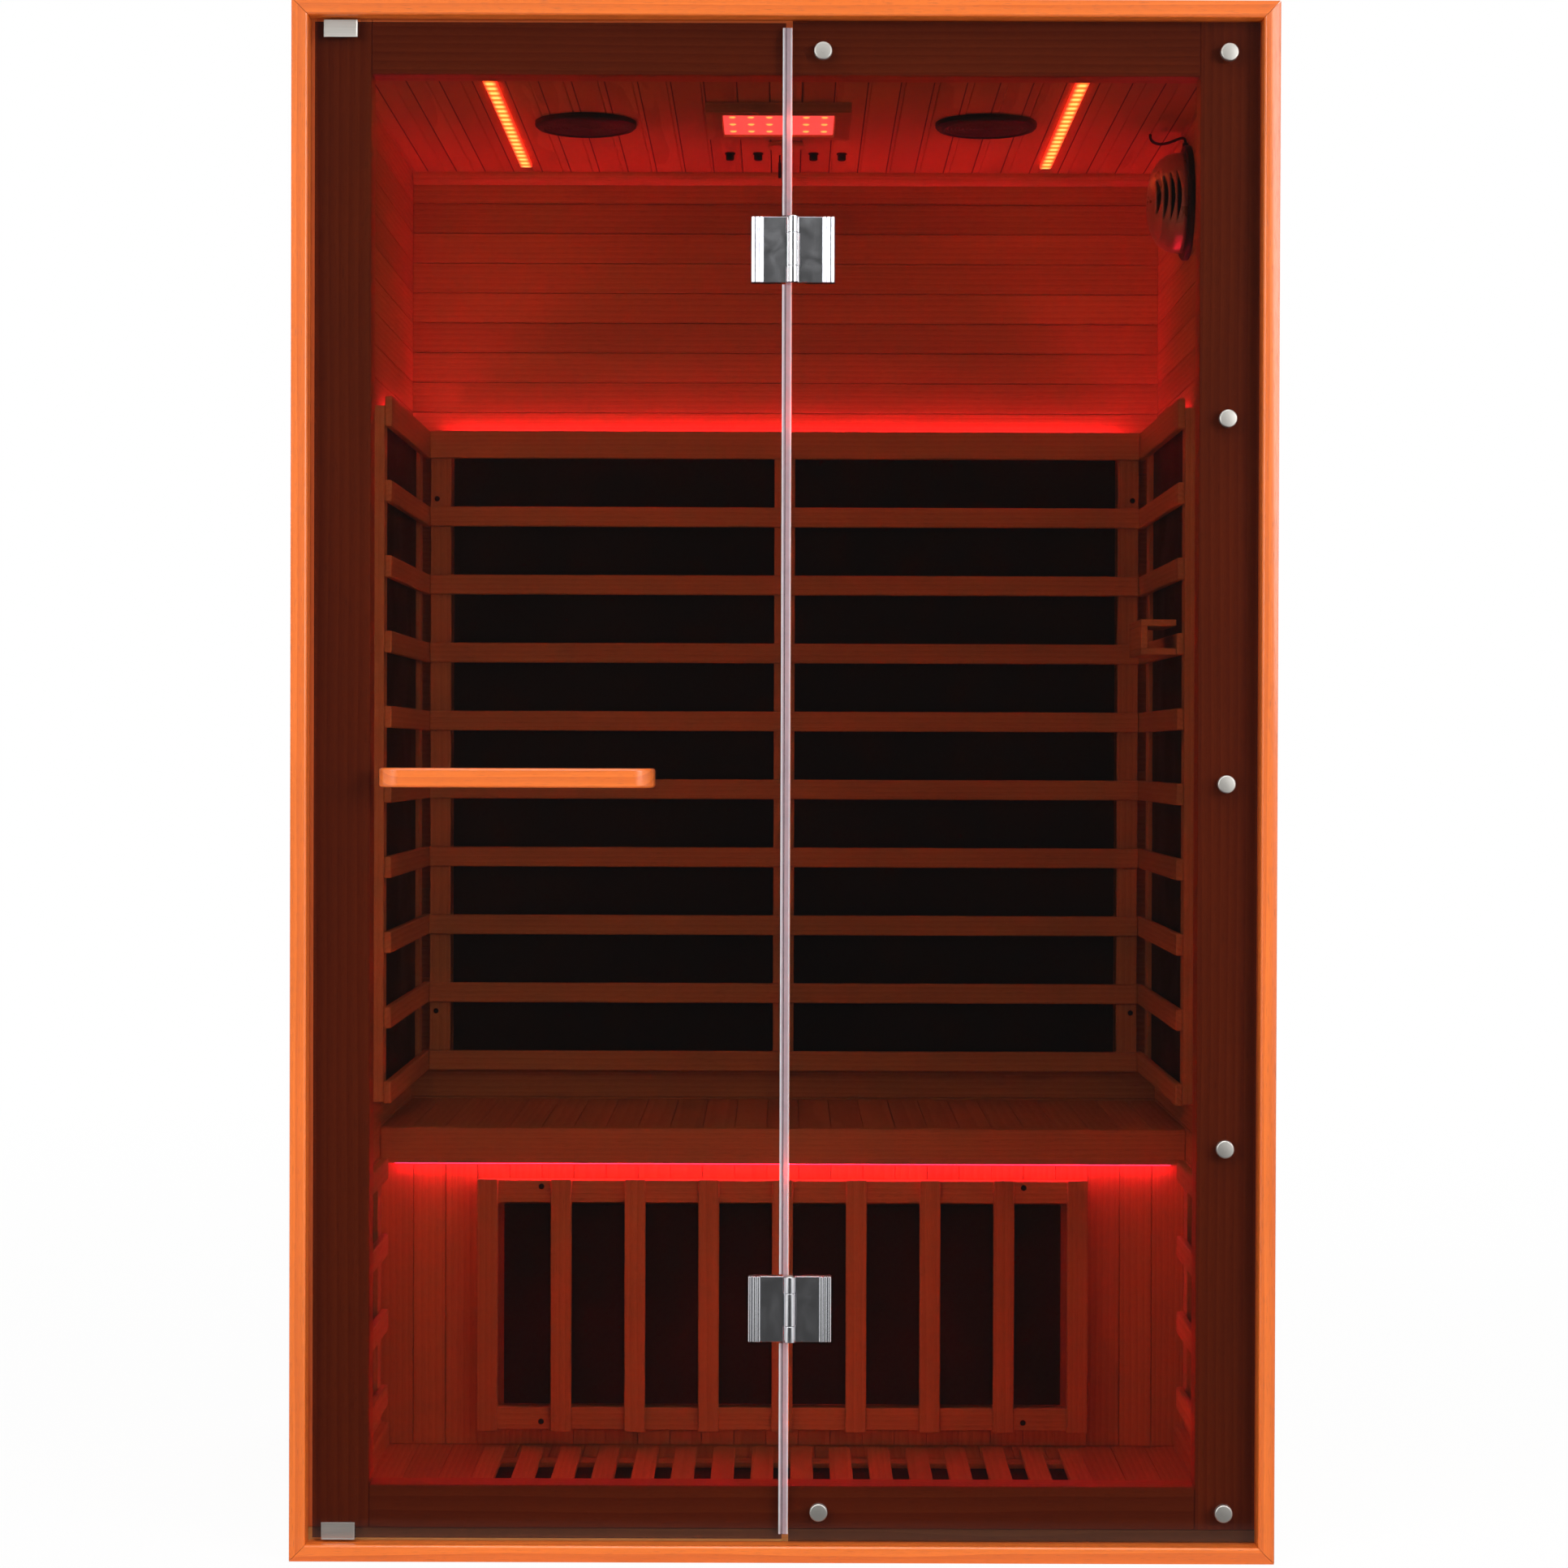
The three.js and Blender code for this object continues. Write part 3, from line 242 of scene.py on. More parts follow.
def turned(bm, profile, axis, centre, steps=48):
    """A turned shape: profile holds (radius, place along the axis), centre the other two coordinates."""
    origin = list(centre)
    origin.insert(axis, 0.0)
    out = Vector((0, 0, 0))
    out[X if axis != X else Y] = 1
    spin_axis = Vector((0, 0, 0))
    spin_axis[axis] = 1
    verts = [bm.verts.new(Vector(origin) + out * r + spin_axis * place) for r, place in profile]
    edges = [bm.edges.new(pair) for pair in zip(verts, verts[1:])]
    turn = {"cent": origin, "axis": spin_axis, "angle": math.tau, "steps": steps}
    bmesh.ops.spin(bm, geom=verts + edges, use_merge=True, **turn)
    bmesh.ops.remove_doubles(bm, verts=bm.verts, dist=0.01 * MM)
    bmesh.ops.recalc_face_normals(bm, faces=bm.faces)
    lay_rings(bm, axis, Vector(origin))


def turned_from(bm, base, points, axis, centre, steps):
    """A turned shape whose points are in millimetres, with their places counted from a base."""
    turned(bm, [(radius * MM, base + place * MM) for radius, place in points], axis, centre, steps)


def lay_rings(bm, axis, origin):
    """Grain that runs round a turned piece, for the marks of the lathe."""
    grain = bm.verts.layers.float_vector["grain"]
    tone = bm.verts.layers.float["tone"]
    shade = draw.uniform(0.05, 1)
    for vert in bm.verts:
        if vert[tone] == 0:
            arm = vert.co - origin
            place = arm[axis]
            arm[axis] = 0
            vert[grain] = Vector((0, arm.length, place))
            vert[tone] = shade


def mitred(bm, low, high, along, inward, side):
    """A board whose ends are cut at 45 degrees towards its inner edge, on one side of the inward axis."""
    box(bm, low, high)
    outer = Vector(low if side > 0 else high)
    for end, edge in ((-1, low), (1, high)):
        normal = Vector((0, 0, 0))
        normal[inward] = side
        normal[along] = end
        corner = outer.copy()
        corner[along] = edge[along]
        cut = bmesh.ops.bisect_plane(
            bm,
            geom=bm.verts[:] + bm.edges[:] + bm.faces[:],
            plane_co=corner,
            plane_no=normal,
            clear_outer=True,
        )
        rim = [part for part in cut["geom_cut"] if isinstance(part, bmesh.types.BMEdge)]
        bmesh.ops.edgeloop_fill(bm, edges=rim)
    bmesh.ops.recalc_face_normals(bm, faces=bm.faces)


def middle_of(node, *axes):
    """The middle of a node's box along the axes asked for."""
    low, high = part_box(node)
    return tuple((low[axis] + high[axis]) / 2 for axis in axes)


def evenly(low, high, width, count):
    """Where pieces of one width start when they are spread evenly between two places."""
    pitch = (high - low - width) / (count - 1)
    return [low + i * pitch for i in range(count)]


def near(first, second):
    return abs(first - second) < 0.01 * MM


def running(bm, along):
    """The edges that run along an axis."""
    others = [axis for axis in (X, Y, Z) if axis != along]
    return [
        edge
        for edge in bm.edges
        if all(near(edge.verts[0].co[axis], edge.verts[1].co[axis]) for axis in others)
    ]


def as_mesh(name, bm):
    mesh = bpy.data.meshes.new(name)
    bm.to_mesh(mesh)
    bm.free()
    return mesh


def as_object(name, data):
    made = bpy.data.objects.new(name, data)
    bpy.context.scene.collection.objects.link(made)
    return made


def finished(name, bm, slot, body, *nodes, finish=None):
    """Makes the bmesh a piece that rides on a body, with the finish of its slot unless one is given."""
    mesh = as_mesh(name, bm)
    mesh.shade_smooth()
    mesh.set_sharp_from_angle(angle=math.radians(50))
    mesh.materials.append(finish or FINISH[slot])
    piece = as_object(name, mesh)
    even = piece.modifiers.new("even_normals", "WEIGHTED_NORMAL")
    even.keep_sharp = True
    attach(piece, body)
    if nodes:
        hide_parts(*nodes)
    return piece


def give_finish(node, material):
    """Puts one material on a solid that stays as it is in the frame."""
    solid = frame["nodes"][node]
    solid.data.materials.clear()
    solid.data.materials.append(material)
    return solid


# Materials

def tint(code):
    """A colour from its six-digit screen code."""
    parts = [int(code[i : i + 2], 16) / 255 for i in (0, 2, 4)]
    linear = [c / 12.92 if c <= 0.04045 else ((c + 0.055) / 1.055) ** 2.4 for c in parts]
    return (*linear, 1.0)


def add(tree, kind, inputs=None, **settings):
    """A node with its settings, its values and its wires."""
    made = tree.nodes.new(kind)
    for key, value in settings.items():
        setattr(made, key, value)
    for key, value in (inputs or {}).items():
        if isinstance(value, bpy.types.NodeSocket):
            tree.links.new(value, made.inputs[key])
        else:
            made.inputs[key].default_value = value
    return made


def math_node(tree, operation, *values):
    made = add(tree, "ShaderNodeMath", dict(enumerate(values)), operation=operation)
    return made.outputs[0]


def stretch(tree, vector, by):
    return add(tree, "ShaderNodeVectorMath", {0: vector, 1: by}, operation="MULTIPLY").outputs[0]


def remap(tree, value, low, high, new_low, new_high):
    settings = {"Value": value, "From Min": low, "From Max": high, "To Min": new_low, "To Max": new_high}
    return add(tree, "ShaderNodeMapRange", settings).outputs["Result"]


def noise(tree, place, detail, scale=1.0):
    settings = {"Vector": place, "Scale": scale, "Detail": detail}
    return add(tree, "ShaderNodeTexNoise", settings).outputs["Fac"]


def object_place(tree):
    return add(tree, "ShaderNodeTexCoord").outputs["Object"]


def split(tree, vector):
    return add(tree, "ShaderNodeSeparateXYZ", {0: vector}).outputs


def blend(tree, share, first, second):
    made = add(tree, "ShaderNodeMix", {0: share, 6: first, 7: second}, data_type="RGBA")
    return made.outputs[2]


def new_finish(name, **values):
    """A material and its Principled shader, with the values that are the same all over."""
    material = bpy.data.materials.new(name)
    material.use_nodes = True
    shader = material.node_tree.nodes["Principled BSDF"]
    for key, value in values.items():
        shader.inputs[key.replace("_", " ")].default_value = value
    return material, material.node_tree, shader


def bump(tree, shader, height, strength, distance):
    made = add(tree, "ShaderNodeBump", {"Height": height, "Strength": strength, "Distance": distance})
    tree.links.new(made.outputs["Normal"], shader.inputs["Normal"])


def feed(tree, shader, **values):
    """Wires values into a shader's sockets."""
    for key, value in values.items():
        tree.links.new(value, shader.inputs[key.replace("_", " ")])


def mix_shaders(tree, share, first, second):
    return add(tree, "ShaderNodeMixShader", {0: share, 1: first.outputs[0], 2: second.outputs[0]})


def new_group(name, inputs, outputs):
    tree = bpy.data.node_groups.new(name, "ShaderNodeTree")
    for socket, kind in inputs.items():
        tree.interface.new_socket(socket, in_out="INPUT", socket_type=kind)
    for socket in outputs:
        tree.interface.new_socket(socket, in_out="OUTPUT", socket_type="NodeSocketFloat")
    return tree, tree.nodes.new("NodeGroupInput"), tree.nodes.new("NodeGroupOutput")


def wood_figure():
    """Year rings, fibres and pores, in coordinates whose first axis runs along the grain."""
    inputs = {"Grain": "NodeSocketVector", "Ring Spacing": "NodeSocketFloat"}
    tree, start, end = new_group("wood_figure", inputs, ("Figure", "Pores", "Height", "Blotch"))
    grain = start.outputs["Grain"]
    rings = add(
        tree,
        "ShaderNodeTexWave",
        {
            "Vector": stretch(tree, grain, (0.1, 1, 1)),
            "Scale": math_node(tree, "DIVIDE", math.tau / 20, start.outputs["Ring Spacing"]),
            "Distortion": 3.0,
            "Detail": 2.0,
            "Detail Scale": 0.5,
            "Detail Roughness": 0.5,
        },
        wave_type="RINGS",
        rings_direction="X",
        wave_profile="SAW",
    ).outputs["Fac"]
    fibre = noise(tree, stretch(tree, grain, (7, 650, 650)), 3.0)
    pores = remap(tree, noise(tree, stretch(tree, grain, (55, 1900, 1900)), 1.0), 0.62, 0.72, 0, 1)
    blotch = noise(tree, stretch(tree, grain, (3, 16, 16)), 2.0)
    drawn = math_node(tree, "MULTIPLY_ADD", rings, 0.5, math_node(tree, "MULTIPLY", fibre, 0.5))
    results = {
        "Figure": drawn,
        "Pores": pores,
        "Height": math_node(tree, "SUBTRACT", fibre, math_node(tree, "MULTIPLY", pores, 0.7)),
        "Blotch": blotch,
    }
    for name, value in results.items():
        tree.links.new(value, end.inputs[name])
    return tree


def board_coordinates(tree, across, along, pitch, below=None):
    """Grain, tone and joints of a panel's boards, a pitch apart, only below a height if that is given."""
    axes = split(tree, object_place(tree))
    number = math_node(tree, "FLOOR", math_node(tree, "MULTIPLY_ADD", axes[across], 1 / pitch, 0.5))
    if below:
        jointed = math_node(tree, "LESS_THAN", axes[Z], below)
        number = math_node(tree, "MULTIPLY", number, jointed)
    chance = add(tree, "ShaderNodeTexWhiteNoise", {"W": number}, noise_dimensions="1D").outputs["Value"]
    (depth,) = (axis for axis in (X, Y, Z) if axis not in (across, along))
    inside = math_node(tree, "MULTIPLY_ADD", number, -pitch, axes[across])
    grain = add(
        tree,
        "ShaderNodeCombineXYZ",
        {
            0: math_node(tree, "MULTIPLY_ADD", chance, 9.0, axes[along]),
            1: math_node(tree, "MULTIPLY_ADD", chance, 0.2, inside),
            2: math_node(tree, "MULTIPLY_ADD", chance, 0.3, axes[depth]),
        },
    )
    from_middle = math_node(tree, "ABSOLUTE", inside)
    joint = remap(tree, from_middle, pitch / 2 - 1.1 * MM, pitch / 2 - 0.5 * MM, 0, 1)
    if below:
        joint = math_node(tree, "MULTIPLY", joint, jointed)
    return grain.outputs[0], chance, joint


def wood(name, pale, dark, gloss, spacing, coat=0.0, spread=0.12, boards=None):
    """A wood. boards lays joints on a panel that is one solid; other pieces carry their own grain."""
    material, tree, shader = new_finish(name, Coat_Weight=coat, Coat_Roughness=0.12)
    if boards:
        grain, tone, joint = board_coordinates(tree, *boards)
    else:
        grain = add(tree, "ShaderNodeAttribute", attribute_name="grain").outputs["Vector"]
        tone = add(tree, "ShaderNodeAttribute", attribute_name="tone").outputs["Fac"]
    figure = add(tree, "ShaderNodeGroup", node_tree=GROUPS["wood_figure"])
    tree.links.new(grain, figure.inputs["Grain"])
    figure.inputs["Ring Spacing"].default_value = spacing
    drawn = blend(tree, figure.outputs["Figure"], tint(pale), tint(dark))
    pores = math_node(tree, "MULTIPLY", figure.outputs["Pores"], 0.35)
    speckled = blend(tree, pores, drawn, tint("4a2412"))
    board_tone = remap(tree, tone, 0, 1, 1 - spread, 1 + spread)
    mottled = remap(tree, figure.outputs["Blotch"], 0.3, 0.7, 0.93, 1.07)
    value = math_node(tree, "MULTIPLY", board_tone, mottled)
    colour = add(tree, "ShaderNodeHueSaturation", {"Value": value, "Color": speckled}).outputs["Color"]
    if boards:
        colour = blend(tree, joint, colour, tint("2a150c"))
    rough = remap(tree, figure.outputs["Height"], 0.2, 0.8, gloss + 0.08, gloss - 0.05)
    feed(tree, shader, Base_Color=colour, Roughness=rough)
    bump(tree, shader, figure.outputs["Height"], 0.25, 0.4 * MM)
    return material


def lathe_marks():
    """Fine lines across the second and third axes of the grain."""
    tree, start, end = new_group("lathe_marks", {"Grain": "NodeSocketVector"}, ("Lines",))
    lines = noise(tree, stretch(tree, start.outputs["Grain"], (12, 3200, 3200)), 2.0)
    tree.links.new(lines, end.inputs["Lines"])
    return tree


def smudges():
    """Faint cloudy marks of handling."""
    tree, start, end = new_group("smudges", {"Scale": "NodeSocketFloat"}, ("Mark",))
    cloud = {"Vector": object_place(tree), "Scale": start.outputs["Scale"]}
    mark = add(tree, "ShaderNodeTexNoise", {**cloud, "Detail": 4.0, "Distortion": 0.6})
    tree.links.new(mark.outputs["Fac"], end.inputs["Mark"])
    return tree


def smudge_mark(tree, scale):
    return add(tree, "ShaderNodeGroup", {"Scale": scale}, node_tree=GROUPS["smudges"]).outputs["Mark"]


def brushed_steel():
    material, tree, shader = new_finish("brushed_steel", Metallic=1.0)
    grain = add(tree, "ShaderNodeAttribute", attribute_name="grain").outputs["Vector"]
    marks = add(tree, "ShaderNodeGroup", {"Grain": grain}, node_tree=GROUPS["lathe_marks"])
    lines = marks.outputs["Lines"]
    colour = blend(tree, lines, tint("cfccc6"), tint("a5a29c"))
    feed(tree, shader, Base_Color=colour, Roughness=remap(tree, lines, 0.3, 0.7, 0.34, 0.52))
    bump(tree, shader, lines, 0.2, 0.05 * MM)
    return material


def chrome():
    material, tree, shader = new_finish("chrome", Metallic=1.0)
    mark = smudge_mark(tree, 45.0)
    colour = blend(tree, mark, tint("e2e3e6"), tint("c9cacf"))
    feed(tree, shader, Base_Color=colour, Roughness=remap(tree, mark, 0.35, 0.7, 0.17, 0.27))
    return material


def plastic(name, colour, lighter, gloss, metallic=0.0, shine=0.5):
    material, tree, shader = new_finish(name, Metallic=metallic, Specular_IOR_Level=shine)
    mark = smudge_mark(tree, 30.0)
    rough = remap(tree, mark, 0.3, 0.7, gloss - 0.06, gloss + 0.08)
    feed(tree, shader, Base_Color=blend(tree, mark, tint(colour), tint(lighter)), Roughness=rough)
    skin = noise(tree, object_place(tree), 2.0, scale=900.0)
    bump(tree, shader, skin, 0.15, 0.1 * MM)
    return material


def carbon_panel():
    """Black heater sheet with a faint weave."""
    material, tree, shader = new_finish("carbon_panel", Specular_IOR_Level=0.2)
    weave = noise(tree, stretch(tree, object_place(tree), (400, 400, 60)), 2.0)
    rough = remap(tree, smudge_mark(tree, 6.0), 0.3, 0.7, 0.42, 0.6)
    feed(tree, shader, Base_Color=blend(tree, weave, tint("080707"), tint("100e0e")), Roughness=rough)
    bump(tree, shader, weave, 0.1, 0.1 * MM)
    return material


def bronze_glass():
    """Tinted glass that lets lamps through."""
    material, tree, shader = new_finish(
        "bronze_glass",
        Base_Color=(0.275, 0.2, 0.19, 1),
        Roughness=0.0,
        IOR=1.5,
        Transmission_Weight=1.0,
    )
    passing = add(tree, "ShaderNodeBsdfTransparent", {"Color": (0.524, 0.447, 0.436, 1)})
    ray = add(tree, "ShaderNodeLightPath")
    mixed = mix_shaders(tree, ray.outputs["Is Shadow Ray"], shader, passing)
    tree.links.new(mixed.outputs[0], tree.nodes["Material Output"].inputs["Surface"])
    return material


def clear_plastic():
    material, tree, shader = new_finish("clear_plastic", IOR=1.45, Transmission_Weight=0.6)
    mark = smudge_mark(tree, 60.0)
    across = split(tree, object_place(tree))[X]
    seal_low, seal_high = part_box("hinge_seal_strip")
    middle = (seal_low.x + seal_high.x) / 2
    from_middle = math_node(tree, "ABSOLUTE", math_node(tree, "SUBTRACT", across, middle))
    # painted highlight: the colour turns near-white along both edges of the strip, for the sheen on its
    # rounded lips
    lip = remap(tree, from_middle, 3.4 * MM, 4.6 * MM, 0, 1)
    # painted shade: a dark line along the fold, 1.6 mm beside the middle of the strip
    crease = math_node(tree, "ABSOLUTE", math_node(tree, "SUBTRACT", across, middle - 1.6 * MM))
    web = blend(tree, mark, tint("d9c4cc"), tint("c2acb6"))
    crease_shaded = blend(tree, remap(tree, crease, 0.3 * MM, 0.9 * MM, 0.75, 0), web, tint("4a3638"))
    rough = remap(tree, mark, 0.3, 0.7, 0.12, 0.25)
    feed(tree, shader, Base_Color=blend(tree, lip, crease_shaded, tint("fffcfe")), Roughness=rough)
    return material


def glowing(name, colour, strength):
    material, tree, shader = new_finish(name, Base_Color=tint("f2d8d0"), Roughness=0.4)
    mark = smudge_mark(tree, 80.0)
    dimmer = (*(0.85 * part for part in tint(colour)[:3]), 1.0)
    feed(tree, shader, Emission_Color=blend(tree, mark, tint(colour), dimmer))
    shader.inputs["Emission Strength"].default_value = strength
    return material


def light_diffuser(middle_x, half_width, pitch):
    """Ribbed light bar: yellow in the middle, red at its edges, with a brighter band at each lamp."""
    material, tree, shader = new_finish("light_diffuser", Base_Color=tint("ffb060"), Roughness=0.35)
    axes = split(tree, object_place(tree))
    off = math_node(tree, "SUBTRACT", math_node(tree, "ABSOLUTE", axes[X]), middle_x)
    edge = remap(tree, math_node(tree, "ABSOLUTE", off), half_width * 0.35, half_width, 0, 1)
    wave = math_node(tree, "SINE", math_node(tree, "MULTIPLY", axes[Y], math.tau / pitch))
    lit = remap(tree, wave, -0.7, 0.7, 0, 1)
    along = blend(tree, lit, tint("ff7a26"), tint("ffd66e"))
    feed(tree, shader, Emission_Color=blend(tree, edge, along, tint("ff2c1c")))
    shader.inputs["Emission Strength"].default_value = LIGHT_BAR_GLOW
    return material


GROUPS = {"wood_figure": wood_figure(), "lathe_marks": lathe_marks(), "smudges": smudges()}
light_low, light_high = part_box("light_bar_right")
FINISH = {
    "stained_wood": wood("stained_wood", "ea7624", "c65614", 0.36, 11 * MM, coat=0.4, spread=0.03),
    "frame_wood": wood("frame_wood", "e87a2e", "c05218", 0.42, 10 * MM, spread=0.05),
    "board_wood": wood("board_wood", "dcab65", "bf8746", 0.55, 8 * MM),
    "slat_wood": wood("slat_wood", "dfb06a", "c48f4c", 0.52, 7 * MM, spread=0.08),
    "carbon_panel": carbon_panel(),
    "bronze_glass": bronze_glass(),
    "chrome": chrome(),
    "brushed_steel": brushed_steel(),
    "clear_plastic": clear_plastic(),
    "light_diffuser": light_diffuser(
        (light_low.x + light_high.x) / 2,
        (light_high.x - light_low.x) / 2,
        30 * MM,
    ),
    "black_plastic": plastic("black_plastic", "100f0f", "1e1c1c", 0.52, shine=0.3),
    "ioniser_shell": plastic("ioniser_shell", "c4a48c", "d0b09a", 0.3, metallic=0.45),
}
ceiling_boards = (X, Y, CEILING_PITCH, CEILING_JOINTS_TOP)
ceiling_wood = wood("ceiling_wood", "dcab65", "bf8746", 0.55, 8 * MM, boards=ceiling_boards)
roof_wood = wood("roof_wood", "c99a6c", "a9784c", 0.6, 12 * MM, boards=(Y, X, ROOF_PITCH))
strip_glow = glowing("red_led", "ff2a58", STRIP_GLOW)
bench_glow = glowing("bench_led", "ff2a50", BENCH_GLOW)
frame_glow = glowing("frame_led", "ffc4a8", FRAME_GLOW)
sill_glow = glowing("sill_led", "ff5a48", SILL_GLOW)
lens_glow = glowing("lamp_lens", "ff5452", LENS_GLOW)
dot_glow = glowing("lamp_diodes", "ffa04a", LAMP_DOT_GLOW)


# Camera, cord and stage

def camera():
    lens = bpy.data.cameras.new("camera")
    lens.lens = CAMERA_LENS
    lens.sensor_width = CAMERA_SENSOR
    eye = as_object("camera", lens)
    eye.location = CAMERA_PLACE
    eye.rotation_euler = (math.pi / 2 - CAMERA_DIP, -CAMERA_ROLL, 0)
    bpy.context.scene.camera = eye


LEAD_DIAMETER = 4 * MM
LEAD_START = Vector((0.511, 0.129, 1.856))
LEAD_END = Vector((0.555, 0.084, 1.8313))
LEAD_FROM_CEILING = (
    (0, 0, -0.3),
    (0, 0, -2),
    (0, 0, -4),
    (0.4, -0.5, -6.5),
    (1.4, -1.7, -9.2),
    (3.4, -4.2, -12),
    (6.5, -8.2, -14.6),
    (10.8, -13.4, -16.6),
    (16, -19.6, -17.6),
    (22, -26.4, -17.4),
    (28.4, -33.3, -16),
    (34.6, -38.8, -14.2),
)
LEAD_FROM_BASE = (
    (-4.6, 2.4, 11.3),
    (-1.6, 0.8, 10.1),
    (-0.3, 0.1, 7.3),
    (0, 0, 4.3),
    (0, 0, 2.1),
    (0, 0, 0),
)


def ioniser_lead():
    """The short lead that sags from the ceiling to the ioniser's base."""
    route = [LEAD_START + Vector(step) * MM for step in LEAD_FROM_CEILING]
    route += [LEAD_END + Vector(step) * MM for step in LEAD_FROM_BASE]
    curve = bpy.data.curves.new("ioniser_cord", "CURVE")
    curve.dimensions = "3D"
    curve.bevel_depth = LEAD_DIAMETER / 2
    curve.bevel_resolution = 4
    curve.use_fill_caps = True
    curve.resolution_u = 6
    spline = curve.splines.new("NURBS")
    spline.points.add(len(route) - 1)
    for point, place in zip(spline.points, route):
        point.co = (*place, 1.0)
    spline.order_u = 3
    spline.use_endpoint_u = True
    curve.materials.append(FINISH["black_plastic"])
    cord = as_object("ioniser_cord", curve)
    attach(cord, "cabin")
    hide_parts("ioniser_lead")


def floor_finish():
    """White to the camera, matt to the lamps. Gloss sees it white at the sides and dark in front."""
    material = bpy.data.materials.new("studio_floor")
    material.use_nodes = True
    tree = material.node_tree
    tree.nodes.clear()
    ray = add(tree, "ShaderNodeLightPath")
    place = object_place(tree)
    away = add(tree, "ShaderNodeVectorMath", {0: place}, operation="LENGTH").outputs["Value"]
    seen = remap(tree, away, *FLOOR_FADE, FLOOR_WHITENESS, 1)
    matt = add(tree, "ShaderNodeBsdfDiffuse", {"Color": FLOOR_COLOUR})
    white = add(tree, "ShaderNodeEmission", {"Color": WHITE, "Strength": 1.0})
    share = math_node(tree, "MULTIPLY", ray.outputs["Is Camera Ray"], seen)
    lit = mix_shaders(tree, share, matt, white)
    axes = split(tree, place)
    beside = math_node(tree, "SUBTRACT", math_node(tree, "ABSOLUTE", axes[X]), FLOOR_SIDES_FROM)
    depth = math_node(tree, "ABSOLUTE", axes[Y])
    slant = math_node(tree, "DIVIDE", beside, depth)
    sides = remap(tree, slant, *FLOOR_SIDES_SLANT, MIRRORED_FRONT, 1)
    close = remap(tree, depth, *FLOOR_CLOSE, MIRRORED_FLOOR, 0)
    pale = math_node(tree, "MAXIMUM", sides, close)
    mirrored = add(tree, "ShaderNodeEmission", {"Color": WHITE, "Strength": pale})
    mixed = mix_shaders(tree, ray.outputs["Is Glossy Ray"], lit, mirrored)
    out = add(tree, "ShaderNodeOutputMaterial")
    tree.links.new(mixed.outputs[0], out.inputs["Surface"])
    return material


def studio():
    """A pale round floor and soft lamps in front, above and behind."""
    bm = bmesh.new()
    below = Matrix.Translation((0, 0, -MM))
    bmesh.ops.create_circle(bm, cap_ends=True, segments=96, radius=FLOOR_RADIUS, matrix=below)
    mesh = as_mesh("studio_floor", bm)
    mesh.materials.append(floor_finish())
    floor = as_object("studio_floor", mesh)
    for name, place, aim, size, power, spread in LAMPS:
        lamp = bpy.data.lights.new(name, "AREA")
        lamp.size = size
        lamp.energy = power
        lamp.spread = math.radians(spread)
        holder = as_object(name, lamp)
        holder.location = place
        holder.rotation_euler = (aim - Vector(place)).to_track_quat("-Z", "Y").to_euler()


def surroundings():
    """White to the camera and through glass, a plain fill for the rest. Gloss sees a dark front."""
    world = bpy.data.worlds.new("studio")
    world.use_nodes = True
    bpy.context.scene.world = world
    tree = world.node_tree
    tree.nodes.clear()
    ray = add(tree, "ShaderNodeLightPath")
    axes = split(tree, add(tree, "ShaderNodeTexCoord").outputs["Generated"])
    ahead = remap(tree, axes[Y], *WORLD_FRONT, MIRRORED_FRONT, 1)
    fill, white, gloss = (
        add(tree, "ShaderNodeBackground", {"Color": WHITE, "Strength": strength})
        for strength in (WORLD_FILL, 1.0, ahead)
    )
    seen = math_node(tree, "MAXIMUM", ray.outputs["Is Camera Ray"], ray.outputs["Is Transmission Ray"])
    first = mix_shaders(tree, seen, fill, white)
    last = mix_shaders(tree, ray.outputs["Is Glossy Ray"], first, gloss)
    out = add(tree, "ShaderNodeOutputWorld")
    tree.links.new(last.outputs[0], out.inputs["Surface"])


# Cabin box

def walls():
    for node, along in (("left_wall", Y), ("right_wall", Y), ("back_wall", X)):
        bm = new_shape()
        panelled(bm, *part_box(node), Z, along)
        finished(f"{node}_boards", bm, "board_wood", "cabin", node)


def floor_boards():
    """Boards round the recess of the floor heater, a sheet under it and the rail across the front."""
    low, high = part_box("floor_panel")
    rail_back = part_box("front_sill")[1].y
    heater_low, heater_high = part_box("floor_heater")
    x0, x1 = heater_low.x - RECESS_MARGIN, heater_high.x + RECESS_MARGIN
    y0, y1 = heater_low.y - RECESS_MARGIN, heater_high.y + RECESS_MARGIN
    areas = (
        (low.x, x0, rail_back, high.y),
        (x1, high.x, rail_back, high.y),
        (x0, x1, rail_back, y0),
        (x0, x1, y1, high.y),
    )
    bm = new_shape()
    for left, right, front, back in areas:
        panelled(bm, Vector((left, front, low.z)), Vector((right, back, FLOOR_TOP)), X, Y)
    plank(bm, (x0, y0, low.z), (x1, y1, FLOOR_RECESS), X)
    plank(bm, (low.x, low.y, low.z), (high.x, rail_back, high.z), X)
    finished("floor_boards", bm, "board_wood", "cabin", "floor_panel")


def roof():
    give_finish("ceiling_panel", ceiling_wood)
    give_finish("roof_cover", roof_wood)


def front_frame():
    runs = (("front_left_post", Z), ("front_right_post", Z), ("front_header", X), ("front_sill", X))
    for node, along in runs:
        bm = new_shape()
        plank(bm, *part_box(node), along, 1.5 * MM)
        finished(f"{node}_board", bm, "frame_wood", "cabin", node)


MOULDING_LIP = 4 * MM  # rounding of the front edge towards the glass


